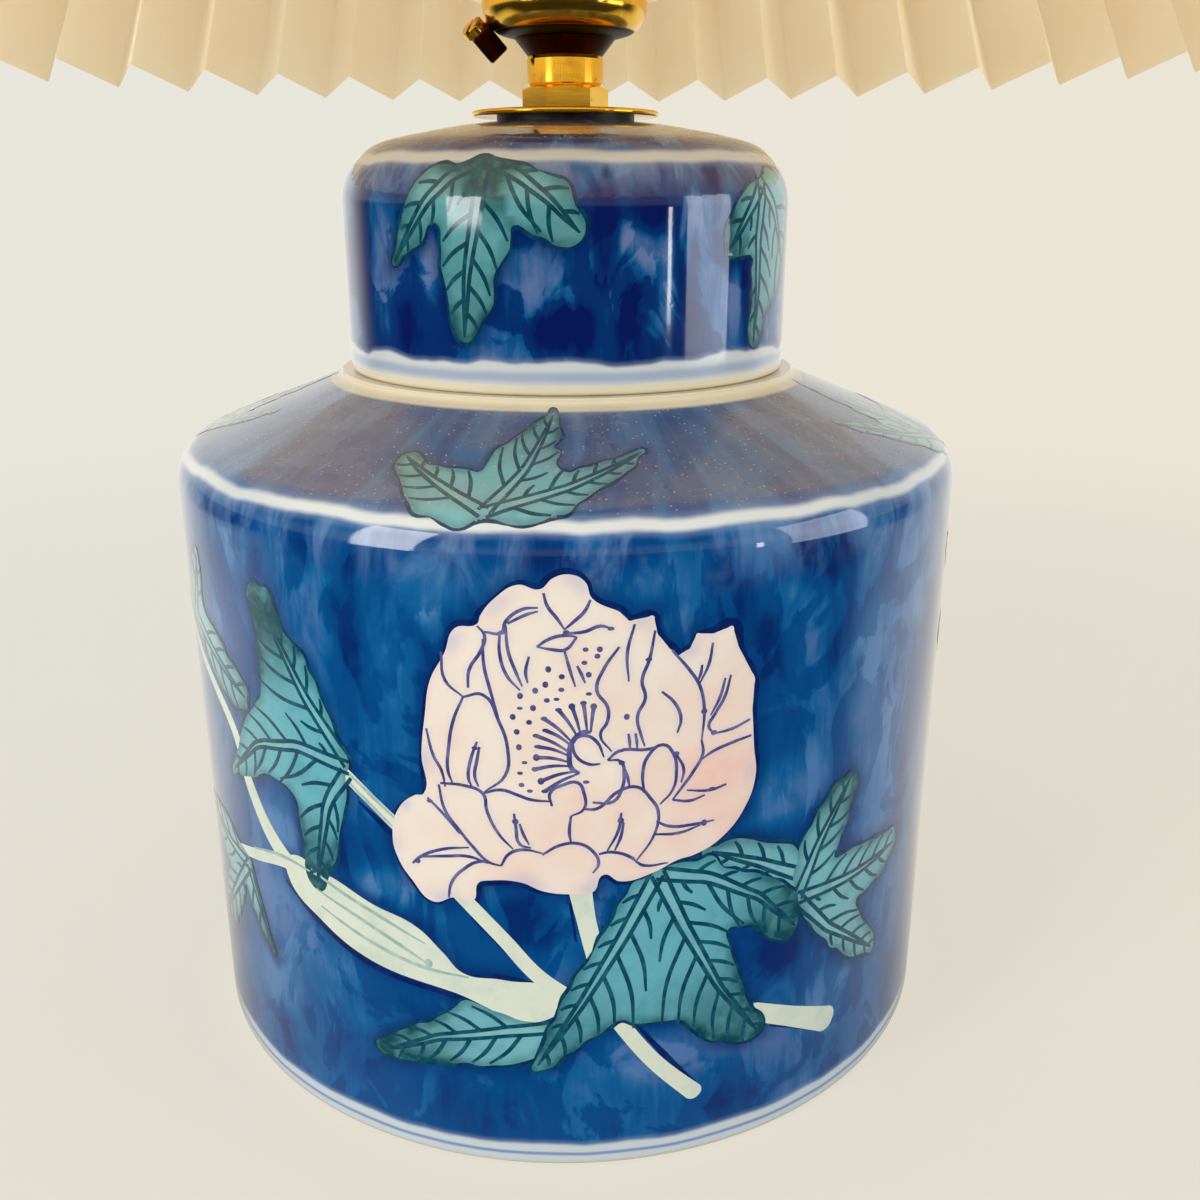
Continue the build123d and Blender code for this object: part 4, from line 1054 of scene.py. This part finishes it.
def onLidWall():
    spread, level, turn = flatPlaces(lidPiece)
    bend = np.arctan2(level - edgeCentre[1], np.maximum(spread - edgeCentre[0], 0.001))
    crown = np.maximum(edgeCentre[0] - spread, 0)
    curved = lid["straight"] + lid["edge"] * bend + crown
    upright = level - lid["low"]
    return np.stack([turn * lid["radius"], np.where(level > edgeCentre[1], curved, upright)], axis=1)


groundMark = {"halo": 2.4, "sample": 1.2, "washEdge": (0.3, 1.35)}


def markGround(piece, flat, radius, outlines, washes):  # washes, and the darker edge by each outline
    gaps = np.full(len(flat), 1e9)
    for outline in outlines:
        gaps = np.minimum(gaps, nearest(flat, densePoints(outline, True, groundMark["sample"]))[0])
    setValues(piece, "halo", np.exp(-(gaps / groundMark["halo"]) ** 2))
    tone = np.zeros(len(flat))
    around = 2 * math.pi * radius
    behind = [(wash[0] + around / 2, *wash[1:]) for wash in washes]
    for side, along, width, height, amount in behind + washes:
        apart = (flat[:, 0] - side + around / 2) % around - around / 2
        share = 1 - softStep(np.hypot(apart / width, (flat[:, 1] - along) / height), *groundMark["washEdge"])
        tone += (amount - tone) * share
    setValues(piece, "wash", tone)


jarOutlines = [leaf["outline"] for leaf in jarLeaves] + [peony["outline"], stems["branch"]]
markGround(jarPiece, onJarWall(), jar["radius"], jarOutlines, jarWashes)
markGround(lidPiece, onLidWall(), lid["radius"], [leaf["outline"] for leaf in lidLeaves], lidWashes)
print("ground washed")

# Finishes

white = screen(216, 225, 230)
footWhite = screen(204, 214, 220)
footBlue = screen(122, 150, 198)
lineBlue = screen(172, 190, 216)
cream = screen(230, 225, 203)
ivory = screen(204, 210, 216)
fringe = screen(142, 164, 204)

jarLook = {
    "radius": jar["radius"], "navy": screen(0, 42, 106), "deep": screen(0, 74, 138),
    "mid": screen(14, 96, 156), "pale": screen(76, 126, 180), "violet": screen(88, 104, 160),
    "washes": 0.7, "strokes": 1.7, "patches": 1.3, "bristles": 0.35, "blots": 0.42, "lightness": 0.06,
    "runs": 0.35, "haloShare": 0.85, "drip": (112.0, 124.0), "dust": 1.0, "inner": 81.9, "innerHigh": 118.0,
    "bands": [(-20.0, 5.2, 0.4, 0.5, footWhite), (2.7, 3.4, 0.15, 0.3, footBlue),
              (124.5, 126.1, 0.4, 0.5, white)],
    "clay": [(-20.0, 1.0), (138.3, 220.0)],
}
lidLook = {
    "radius": lid["radius"], "navy": screen(0, 24, 98), "deep": screen(0, 52, 122),
    "mid": screen(10, 92, 156), "pale": screen(100, 128, 184), "violet": screen(104, 108, 164),
    "washes": 0.85, "strokes": 1.8, "patches": 1.4, "bristles": 0.35, "blots": 0.5, "lightness": 0.06,
    "runs": 0.5, "haloShare": 0.8, "drip": (174.0, 180.3), "dust": 1.15, "inner": 41.5, "innerHigh": 176.0,
    "bands": [(0.0, 145.9, 1.0, 0.4, white), (142.7, 144.5, 0.15, 0.7, lineBlue),
              (180.5, 182.3, 0.35, 0.5, ivory)],
    "clay": [(0.0, 142.2)],
}
groundTones = {"deep": (-0.75, -0.1), "mid": (-0.1, 0.35), "pale": (0.25, 0.85)}
glazeFilm = {
    "dust": screen(150, 138, 142), "speck": screen(206, 208, 214), "film": 0.4, "specks": 0.6,
    "dustRough": 0.28, "clayRough": 0.5, "ripple": 0.00007, "ior": 1.5,
    "coat": 1.0, "coatIor": 1.3, "coatRough": 0.04,
}


def between(tree, value, low, high, soft):
    risen = fade(tree, value, low - soft, low + soft)
    return times(tree, risen, fade(tree, value, high - soft, high + soft, 1.0, 0.0))


def swing(tree, value, amount):  # a noise value about its middle
    return times(tree, calc(tree, "SUBTRACT", value, 0.5), amount)


def finishGlaze(tree, shader, colour, dustAmount, matt=None):  # dust, gloss and ripple over a painted ground
    dust = useGroup(tree, settledDust, {"Amount": dustAmount})
    skin = useGroup(tree, glazeSkin)
    film = times(tree, dust["Film"], glazeFilm["film"])
    colour = tint(tree, film, colour, glazeFilm["dust"])
    colour = tint(tree, times(tree, dust["Specks"], glazeFilm["specks"]), colour, glazeFilm["speck"])
    feed(tree, shader.inputs["Base Color"], colour)
    rough = plus(tree, skin["Roughness"], times(tree, dust["Film"], glazeFilm["dustRough"]))
    if matt is not None:
        rough = plus(tree, rough, times(tree, matt, glazeFilm["clayRough"]))
    feed(tree, shader.inputs["Roughness"], rough)
    feedBump(tree, shader, skin["Height"], glazeFilm["ripple"])
    setInputs(shader, {"IOR": glazeFilm["ior"], "Coat Weight": glazeFilm["coat"],  # milky towards the edges
                       "Coat IOR": glazeFilm["coatIor"], "Coat Roughness": glazeFilm["coatRough"]})


def makePorcelain(name, look):
    material, tree, shader = startMaterial(name)
    brush = useGroup(tree, brushwork, {"Radius": look["radius"] * mm})
    place = addNode(tree, "SeparateXYZ", {0: objectPlace(tree)}).outputs
    level = times(tree, place["Z"], 1000.0)
    dripLow, dripHigh = look["drip"]
    higher = fade(tree, level, dripLow - 50.0, dripLow, 0.6, 1.0)
    strokes = times(tree, higher, swing(tree, brush["Strokes"], look["strokes"]))
    patches = swing(tree, brush["Patches"], look["patches"])
    bristles = swing(tree, brush["Bristles"], look["bristles"])
    blots = swing(tree, fade(tree, brush["Blots"], 0.47, 0.53), look["blots"])
    depth = times(tree, attribute(tree, "wash"), look["washes"])
    for mark in (strokes, patches, bristles, blots, look["lightness"]):
        depth = plus(tree, depth, mark)
    colour = look["navy"]
    for tone, (low, high) in groundTones.items():
        colour = tint(tree, fade(tree, depth, low, high), colour, look[tone])
    veil = fade(tree, brush["Patches"], 0.52, 0.7, 0.0, 0.4)
    colour = tint(tree, times(tree, veil, fade(tree, depth, 0.1, 0.5)), colour, look["violet"])
    nearby = fade(tree, brush["Strokes"], 0.3, 0.62, 0.3, look["haloShare"])
    colour = tint(tree, times(tree, attribute(tree, "halo"), nearby), colour, look["navy"])
    runs = fade(tree, brush["Strokes"], 0.42, 0.66, 0.0, look["runs"])
    runs = times(tree, fade(tree, level, dripLow, dripHigh), runs)
    runs = times(tree, runs, fade(tree, level, dripHigh, dripHigh + 1.0, 1.0, 0.0))
    colour = tint(tree, runs, colour, fringe)
    for low, high, sway, soft, paint in look["bands"]:
        wave = swing(tree, brush["Waver"], 5 * sway)
        swayed = calc(tree, "SUBTRACT", level, wave)
        if sway > 0.3:
            edged = between(tree, swayed, low - 0.5, high + 0.5, 2 * soft)
            colour = tint(tree, times(tree, edged, 0.6), colour, fringe)
        colour = tint(tree, between(tree, swayed, low, high, soft), colour, paint)
    within = calc(tree, "LESS_THAN", acrossAxis(tree, place), look["inner"] * mm)
    hidden = times(tree, within, calc(tree, "LESS_THAN", level, look["innerHigh"]))
    colour = tint(tree, hidden, colour, white)
    matt = None
    for low, high in look["clay"]:
        bare = between(tree, level, low, high, 0.2)
        colour = tint(tree, bare, colour, cream)
        matt = bare if matt is None else calc(tree, "MAXIMUM", matt, bare)
    finishGlaze(tree, shader, colour, look["dust"], matt)
    return material


leafLook = {"leaf": screen(92, 172, 188), "pale": screen(138, 194, 200), "mottle": screen(64, 146, 164),
            "dark": screen(0, 74, 82), "washScale": 150.0, "wornScale": 260.0, "dust": 0.8}
petalLook = {"ivory": screen(241, 231, 219), "warm": screen(240, 224, 211), "pink": screen(244, 198, 183),
             "lilac": screen(172, 172, 216), "cloudScale": 110.0, "wornScale": 190.0, "dust": 0.0}
stemLook = {"cream": screen(220, 228, 212), "green": screen(186, 208, 196), "washScale": 160.0, "dust": 0.0}
inkLook = {
    "petal": (screen(62, 66, 124), screen(116, 116, 164)), "vein": (screen(6, 66, 88), screen(30, 98, 116)),
    "rim": (screen(2, 48, 88), screen(8, 80, 104)), "cobalt": (screen(2, 30, 92), screen(4, 48, 112)),
    "stem": (screen(150, 180, 176), screen(184, 206, 196)), "thinScale": 420.0, "dust": 0.4,
}


def makeLeafEnamel():
    material, tree, shader = startMaterial("leafEnamel")
    place = objectPlace(tree)
    colour = tint(tree, attribute(tree, "pale"), leafLook["leaf"], leafLook["pale"])
    wash = fade(tree, grain(tree, place, leafLook["washScale"], 4.0, 0.6, 0.6), 0.42, 0.75, 0.0, 0.5)
    colour = tint(tree, wash, colour, leafLook["mottle"])
    worn = fade(tree, grain(tree, place, leafLook["wornScale"], 3.0), 0.25, 0.6, 0.55, 1.0)
    colour = tint(tree, times(tree, attribute(tree, "dark"), worn), colour, leafLook["dark"])
    finishGlaze(tree, shader, colour, leafLook["dust"])
    return material


def makePetalEnamel():
    material, tree, shader = startMaterial("petalEnamel")
    place = objectPlace(tree)
    cloud = fade(tree, grain(tree, place, petalLook["cloudScale"], 3.0), 0.35, 0.7)
    colour = tint(tree, cloud, petalLook["ivory"], petalLook["warm"])
    worn = fade(tree, grain(tree, place, petalLook["wornScale"], 3.0), 0.25, 0.65, 0.6, 1.0)
    colour = tint(tree, times(tree, attribute(tree, "blush"), worn), colour, petalLook["pink"])
    colour = tint(tree, times(tree, attribute(tree, "lilac"), worn), colour, petalLook["lilac"])
    finishGlaze(tree, shader, colour, petalLook["dust"])
    return material


def makeStemEnamel():
    material, tree, shader = startMaterial("stemEnamel")
    wash = fade(tree, grain(tree, objectPlace(tree), stemLook["washScale"], 4.0, 0.6), 0.42, 0.75, 0.0, 0.6)
    finishGlaze(tree, shader, tint(tree, wash, stemLook["cream"], stemLook["green"]), stemLook["dust"])
    return material


def makeInk(name, shades):
    material, tree, shader = startMaterial(name)
    thin = fade(tree, grain(tree, objectPlace(tree), inkLook["thinScale"], 3.0, 0.6), 0.35, 0.75)
    finishGlaze(tree, shader, tint(tree, thin, *shades), inkLook["dust"])
    return material


wear(jarPiece, makePorcelain("jarGlaze", jarLook))
wear(lidPiece, makePorcelain("lidGlaze", lidLook))
leafPaints = (makeLeafEnamel(), makeInk("veinInk", inkLook["vein"]), makeInk("rimInk", inkLook["rim"]))
for leafPieces in ((jarLeafFill, jarLeafVeins, jarLeafRims), (lidLeafFill, lidLeafVeins, lidLeafRims)):
    for piece, paint in zip(leafPieces, leafPaints):
        wear(piece, paint)
wear(stemFill, makeStemEnamel())
wear(stemLines, makeInk("stemInk", inkLook["stem"]))
wear(peonyFill, makePetalEnamel())
wear(peonyLines, makeInk("petalInk", inkLook["petal"]))
wear(shadowLines, makeInk("cobaltInk", inkLook["cobalt"]))
print("porcelain and enamels finished")

metalLook = {
    "brass": {"bright": screen(250, 200, 72), "dull": screen(184, 122, 36), "share": 0.4,
              "smooth": 0.11, "rough": 0.22, "blotch": 70.0, "line": 900.0},
    "brassedWire": {"bright": screen(214, 178, 104), "dull": screen(122, 92, 52), "share": 0.6,
                    "smooth": 0.2, "rough": 0.4, "blotch": 120.0, "line": 1400.0},
    "platedSteel": {"bright": screen(206, 206, 202), "dull": screen(120, 116, 108), "share": 0.5,
                    "smooth": 0.2, "rough": 0.42, "blotch": 110.0, "line": 1200.0},
    "lampCap": {"bright": screen(214, 212, 204), "dull": screen(140, 134, 122), "share": 0.4,
                "smooth": 0.25, "rough": 0.4, "blotch": 90.0, "line": 1000.0},
}
metalSkin = {"pit": screen(48, 32, 18), "pitShare": 0.6, "streak": 0.05, "depth": 0.00001, "strength": 0.5}


def makeMetal(name):
    look = metalLook[name]
    material, tree, shader = startMaterial(name)
    worn = useGroup(tree, metalWear, {"Blotch": look["blotch"], "Line": look["line"]})
    dull = times(tree, worn["Tarnish"], look["share"])
    colour = tint(tree, dull, look["bright"], look["dull"])
    colour = tint(tree, times(tree, worn["Pits"], metalSkin["pitShare"]), colour, metalSkin["pit"])
    feed(tree, shader.inputs["Base Color"], colour)
    setInputs(shader, {"Metallic": 1.0})
    streak = fade(tree, worn["Rubbing"], 0.3, 0.7, look["smooth"], look["smooth"] + metalSkin["streak"])
    tarnished = times(tree, worn["Tarnish"], look["rough"] - look["smooth"])
    feed(tree, shader.inputs["Roughness"], plus(tree, streak, tarnished))
    feedBump(tree, shader, worn["Rubbing"], metalSkin["depth"], metalSkin["strength"])
    return material


# browns for the painted shade and painted reflection under the holder's bowl; band is the black painted
# shade on the bowl's flat underside
brownLook = {
    "cup": screen(50, 18, 8), "worn": screen(86, 40, 16), "band": screen(9, 6, 4), "share": 0.7,
    "cupRadius": 10.0, "cupEdge": 0.2, "radius": 13.9, "edge": 0.3, "blotch": 130.0,
    "line": 900.0, "rough": 0.48,
}


def makeDarkBrass(name, brass):  # dark brown brass: under the holder's bowl it is painted shade and a painted reflection of the dark room, with a black painted-shade band on the bowl's flat underside; without brass, dark brown all over
    material, tree, shader = startMaterial(name)
    worn = useGroup(tree, metalWear, {"Blotch": brownLook["blotch"], "Line": brownLook["line"]})
    place = addNode(tree, "SeparateXYZ", {0: objectPlace(tree)}).outputs
    spread = times(tree, acrossAxis(tree, place), 1000.0)
    stain = times(tree, worn["Tarnish"], brownLook["share"])
    # two browns mixed by tarnish noise; under the bowl this brown is painted shade and painted reflection
    colour = tint(tree, stain, brownLook["cup"], brownLook["worn"])
    rough = fade(tree, worn["Rubbing"], 0.3, 0.7, 0.4, 0.5)
    if brass is not None:
        cup, cupEdge = brownLook["cupRadius"], brownLook["cupEdge"]
        bowl, bowlEdge = brownLook["radius"], brownLook["edge"]
        # black painted shade on the flat underside of the bowl, between the cup and the gold
        colour = tint(tree, fade(tree, spread, cup - cupEdge, cup + cupEdge), colour, brownLook["band"])
        golden = fade(tree, spread, bowl - bowlEdge, bowl + bowlEdge)
        dull = times(tree, worn["Tarnish"], brass["share"])
        colour = tint(tree, golden, colour, tint(tree, dull, brass["bright"], brass["dull"]))
        rough = fade(tree, golden, 0.0, 1.0, brownLook["rough"], brass["smooth"] + metalSkin["streak"])
    feed(tree, shader.inputs["Base Color"], colour)
    feed(tree, shader.inputs["Roughness"], rough)
    setInputs(shader, {"Metallic": 1.0})
    feedBump(tree, shader, worn["Rubbing"], metalSkin["depth"], metalSkin["strength"])
    return material


rubberLook = {"black": screen(26, 25, 26), "bloom": screen(58, 55, 54), "cloud": 240.0,
              "rough": (0.48, 0.66), "grain": 1600.0, "depth": 0.00002}


def makeRubber():
    material, tree, shader = startMaterial("blackRubber")
    place = objectPlace(tree)
    bloom = fade(tree, grain(tree, place, rubberLook["cloud"], 4.0, 0.6), 0.45, 0.75)
    feed(tree, shader.inputs["Base Color"], tint(tree, bloom, rubberLook["black"], rubberLook["bloom"]))
    feed(tree, shader.inputs["Roughness"], fade(tree, bloom, 0.0, 1.0, *rubberLook["rough"]))
    feedBump(tree, shader, grain(tree, place, rubberLook["grain"], 2.0), rubberLook["depth"], 0.5)
    return material


insulatorLook = {"brown": screen(50, 30, 22), "flow": screen(74, 46, 32), "swirl": 90.0, "smear": 300.0,
                 "rough": (0.26, 0.4), "grain": 900.0, "depth": 0.00001}


def makeInsulator():
    material, tree, shader = startMaterial("mouldedInsulator")
    place = objectPlace(tree)
    flow = fade(tree, grain(tree, place, insulatorLook["swirl"], 4.0, 0.55, 1.2), 0.35, 0.7)
    feed(tree, shader.inputs["Base Color"], tint(tree, flow, insulatorLook["brown"], insulatorLook["flow"]))
    smear = grain(tree, place, insulatorLook["smear"])
    feed(tree, shader.inputs["Roughness"], fade(tree, smear, 0.3, 0.7, *insulatorLook["rough"]))
    feedBump(tree, shader, grain(tree, place, insulatorLook["grain"], 2.0), insulatorLook["depth"], 0.5)
    return material


opalLook = {"white": screen(246, 243, 236), "cloudy": screen(236, 234, 228), "cloud": 45.0, "smear": 120.0,
            "rough": (0.16, 0.24), "through": 0.15, "wave": 30.0, "depth": 0.00005}


def makeOpalGlass():
    material, tree, shader = startMaterial("opalGlass")
    place = objectPlace(tree)
    cloud = fade(tree, grain(tree, place, opalLook["cloud"], 4.0), 0.3, 0.7)
    feed(tree, shader.inputs["Base Color"], tint(tree, cloud, opalLook["white"], opalLook["cloudy"]))
    smear = grain(tree, place, opalLook["smear"])
    feed(tree, shader.inputs["Roughness"], fade(tree, smear, 0.3, 0.7, *opalLook["rough"]))
    setInputs(shader, {"Transmission Weight": opalLook["through"]})
    feedBump(tree, shader, grain(tree, place, opalLook["wave"], 1.0), opalLook["depth"], 0.5)
    return material


finishes = {
    "brass": makeMetal("brass"), "plated_steel": makeMetal("platedSteel"), "lamp_cap": makeMetal("lampCap"),
    "brassed_wire": makeMetal("brassedWire"), "black_rubber": makeRubber(),
    "moulded_insulator": makeInsulator(), "opal_glass": makeOpalGlass(),
}
for part in frame["record"]["subparts"]:
    if part["material_slot"] in finishes:
        wear(nodes[part["node"]], finishes[part["material_slot"]])
# the dome gets painted shade and painted reflection under its bowl; the terminal block is dark brown all
# over
wear(nodes["holder_dome"], makeDarkBrass("bowlPaintedShade", metalLook["brass"]))
wear(nodes["earth_terminal"], makeDarkBrass("darkBrownBlock", None))
print("metal, rubber, insulator and glass finished")

# Pleated shade: one pleat as a grid, folded, then copied round the axis

shade = {
    "pleats": 46, "turn": math.radians(-3.2), "innerLow": (156.0, 202.1), "innerHigh": (57.0, 354.1),
    "outerLow": (167.1, 209.3), "outerHigh": (70.9, 363.2), "crease": 0.45, "creaseReach": 0.08,
    "bulge": 0.5, "thickness": 0.34, "smoothTo": 24,
    "across": [0.0, 0.02, 0.05, 0.1, 0.3, 0.5, 0.7, 0.9, 0.95, 0.98], "rows": 24,
    "flat": (1.564, 0.1814),
}


def pleatPoint(across, up):  # across runs 0 to 2 over an outer fold, up runs 0 to 1 along the slant
    share = across if across <= 1 else 2 - across
    half = math.pi / shade["pleats"]
    side = -1 if across <= 1 else 1

    def onFold(low, high, turn):
        radius = low[0] + (high[0] - low[0]) * up
        return Vector((radius * math.cos(turn), radius * math.sin(turn), low[1] + (high[1] - low[1]) * up))

    outer = onFold(shade["outerLow"], shade["outerHigh"], shade["turn"])
    inner = onFold(shade["innerLow"], shade["innerHigh"], shade["turn"] + side * half)
    place = inner.lerp(outer, share)
    sharpness = max(0.0, 1 - min(share, 1 - share) / shade["creaseReach"])
    pull = shade["crease"] * sharpness * sharpness * (1 if share < 0.5 else -1)
    pull += shade["bulge"] * math.sin(math.pi * share) * math.sin(math.pi * up)
    outward = Vector((place.x, place.y, 0)).normalized()
    return (place + outward * pull) * mm


def foldShade():
    steps = shade["across"] + [1.0] + [2 - value for value in reversed(shade["across"])]
    bpy.ops.object.select_all(action="DESELECT")
    bpy.ops.mesh.primitive_grid_add(x_subdivisions=len(steps) - 1, y_subdivisions=shade["rows"], size=1.0)
    piece = bpy.context.object
    for vertex in piece.data.vertices:
        column = round((vertex.co.x + 0.5) * (len(steps) - 1))
        vertex.co = pleatPoint(steps[column], vertex.co.y + 0.5)
    bpy.ops.object.mode_set(mode="EDIT")
    bpy.ops.mesh.select_all(action="SELECT")
    count = shade["pleats"] - 1
    bpy.ops.mesh.spin(steps=count, dupli=True, angle=2 * math.pi * count / shade["pleats"], center=(0, 0, 0),
                      axis=(0, 0, 1))
    bpy.ops.mesh.select_all(action="SELECT")
    bpy.ops.mesh.remove_doubles(threshold=0.01 * mm)
    bpy.ops.mesh.normals_make_consistent(inside=False)
    bpy.ops.object.mode_set(mode="OBJECT")
    applyModifier(piece, "SOLIDIFY", thickness=shade["thickness"] * mm, offset=0.0)
    piece.name = "pleated_shade"
    piece.data.name = "pleated_shade"
    smoothByAngle(piece, shade["smoothTo"])
    return piece


paperLook = {
    "cream": screen(255, 248, 233), "warm": screen(254, 242, 217), "fibre": screen(255, 251, 242),
    "cloud": 28.0, "weave": 1500.0, "tooth": 400.0, "sheen": 0.3, "depth": 0.00003, "through": 0.78,
}


def makeShadePaper():
    material, tree, shader = startMaterial("shadePaper")
    place = objectPlace(tree)
    cloud = fade(tree, grain(tree, place, paperLook["cloud"], 4.0, 0.6), 0.35, 0.7, 0.2, 0.7)
    colour = tint(tree, cloud, paperLook["cream"], paperLook["warm"])
    drawn = addNode(tree, "Mapping", {"Vector": place, "Scale": (1.0, 1.0, 0.25)}).outputs[0]
    fibre = fade(tree, grain(tree, drawn, paperLook["weave"], 3.0, 0.6, 0.8), 0.5, 0.75, 0.0, 0.6)
    colour = tint(tree, fibre, colour, paperLook["fibre"])
    feed(tree, shader.inputs["Base Color"], colour)
    tooth = fade(tree, grain(tree, place, paperLook["tooth"]), 0.3, 0.7, 0.62, 0.8)
    feed(tree, shader.inputs["Roughness"], tooth)
    setInputs(shader, {"Specular IOR Level": paperLook["sheen"]})
    feedBump(tree, shader, fibre, paperLook["depth"], 0.6)
    through = addNode(tree, "BsdfTranslucent", {"Color": colour})
    shares = {0: paperLook["through"], 1: shader.outputs[0], 2: through.outputs[0]}
    blend = addNode(tree, "MixShader", shares)
    feed(tree, tree.nodes["Material Output"].inputs["Surface"], blend.outputs[0])
    return material


shadePiece = foldShade()
wear(shadePiece, makeShadePaper())
print("shade folded:", len(shadePiece.data.polygons), "faces")

# What each piece moves with and stands for

painted = [jarPiece, lidPiece, jarLeafFill, jarLeafVeins, jarLeafRims, lidLeafFill, lidLeafVeins,
           lidLeafRims, stemFill, stemLines, peonyFill, peonyLines, shadowLines]
for piece in painted:
    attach(piece, "base")
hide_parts("jar_body")
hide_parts("jar_lid")
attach(shadePiece, "shade")
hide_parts("shade_pleats")

# Floor, light and camera

studio = {
    "floor": screen(236, 230, 218), "patch": screen(238, 233, 222), "patchScale": 6.0, "floorRough": 0.55,
    "floorRadius": 1.6, "away": (0.28, 0.75), "shown": 0.68, "near": (-0.11, 0.06), "sides": (-0.25, 0.25),
    "left": screen(232, 230, 220), "right": screen(235, 229, 213), "backdrop": screen(240, 238, 230),
    "front": (0.035, 0.033, 0.032, 1.0), "upperFront": (0.42, 0.39, 0.35, 1.0),
    "ambient": (0.64, 0.645, 0.65, 1.0), "rise": (0.03, 0.08), "fall": (0.2, 0.4), "lean": 0.11,
    "behind": (0.3, 0.7), "walls": (-0.4, 0.4),
    "aim": (0.0, 0.0, 0.12),
    "windows": {"leftWindow": ((-1.10, -0.92, 0.60), (0.5, 1.0), 11.5, (1.0, 0.985, 0.96)),
                "rightWindow": ((1.43, -0.41, 0.36), (0.73, 0.85), 6.2, (0.9, 0.95, 1.0)),
                "stripWindow": ((1.16, -0.94, 0.10), (0.05, 0.2), 0.3, (1.0, 1.0, 1.0))},
}
photoView = {"lens": 36.45, "sensor": 36.0, "place": (0.0, -0.2664, 0.1764), "down": 0.3283, "aside": 0.0263}


def layFloor():
    bpy.ops.object.select_all(action="DESELECT")
    bpy.ops.mesh.primitive_circle_add(vertices=96, radius=studio["floorRadius"], fill_type="NGON")
    floor = bpy.context.object
    floor.name = "floor"
    material, tree, shader = startMaterial("paleFloor")
    place = objectPlace(tree)
    patch = fade(tree, grain(tree, place, studio["patchScale"], 2.0), 0.3, 0.7)
    feed(tree, shader.inputs["Base Color"], tint(tree, patch, studio["floor"], studio["patch"]))
    setInputs(shader, {"Roughness": studio["floorRough"]})
    away = addNode(tree, "VectorMath", {0: place}, operation="LENGTH").outputs["Value"]
    feed(tree, shader.inputs["Alpha"], fade(tree, away, *studio["away"], 1.0, 0.0))
    path = addNode(tree, "LightPath").outputs
    spot = addNode(tree, "SeparateXYZ", {0: place}).outputs
    plain = tint(tree, fade(tree, spot["X"], *studio["sides"]), studio["left"], studio["right"])
    nearer = times(tree, fade(tree, spot["Y"], *studio["near"], 1.0, 0.0), path["Is Glossy Ray"])
    even = addNode(tree, "Emission", {"Color": tint(tree, nearer, plain, studio["front"])})
    clear = addNode(tree, "BsdfTransparent")
    gone = fade(tree, away, *studio["away"])
    even = addNode(tree, "MixShader", {0: gone, 1: even.outputs[0], 2: clear.outputs[0]})
    seen = calc(tree, "MAXIMUM", path["Is Camera Ray"], path["Is Glossy Ray"])
    share = calc(tree, "MAXIMUM", times(tree, seen, studio["shown"]), nearer)
    blend = addNode(tree, "MixShader", {0: share, 1: shader.outputs[0], 2: even.outputs[0]})
    feed(tree, tree.nodes["Material Output"].inputs["Surface"], blend.outputs[0])
    wear(floor, material)


def hangLight(name, place, size, power, colour):
    bpy.ops.object.light_add(type="AREA", location=place)
    lamp = bpy.context.object
    lamp.name = name
    lamp.data.shape = "RECTANGLE"
    lamp.data.size, lamp.data.size_y = size
    lamp.data.energy = power
    lamp.data.color = colour
    lamp.rotation_euler = (Vector(studio["aim"]) - Vector(place)).to_track_quat("-Z", "Y").to_euler()


def lightRoom():
    world = bpy.data.worlds.new("room")
    bpy.context.scene.world = world
    world.use_nodes = True
    tree = world.node_tree
    path = addNode(tree, "LightPath").outputs
    facing = addNode(tree, "SeparateXYZ", {0: addNode(tree, "TexCoord").outputs["Generated"]}).outputs
    strip = fade(tree, facing["Z"], *studio["fall"], 1.0, 0.0)
    strip = times(tree, fade(tree, facing["Z"], *studio["rise"]), strip)
    ahead = tint(tree, strip, studio["front"], studio["upperFront"])
    back = plus(tree, facing["Y"], times(tree, facing["X"], studio["lean"]))
    mirrored = tint(tree, fade(tree, back, *studio["behind"]), ahead, studio["backdrop"])
    behind = tint(tree, fade(tree, facing["X"], *studio["walls"]), studio["left"], studio["right"])
    colour = tint(tree, path["Is Glossy Ray"], studio["ambient"], mirrored)
    seen = calc(tree, "MAXIMUM", path["Is Camera Ray"], path["Is Transmission Ray"])
    colour = tint(tree, seen, colour, behind)
    feed(tree, tree.nodes["Background"].inputs["Color"], colour)
    for name, (place, size, power, tone) in studio["windows"].items():
        hangLight(name, place, size, power, tone)


layFloor()
lightRoom()
bpy.ops.object.camera_add(location=photoView["place"],
                          rotation=(math.pi / 2 - photoView["down"], 0, -photoView["aside"]))
camera = bpy.context.object
camera.data.lens = photoView["lens"]
camera.data.sensor_width = photoView["sensor"]
camera.data.clip_start = 0.01
bpy.context.scene.camera = camera
bpy.context.scene.view_settings.view_transform = "Standard"
print("floor, light and camera set")
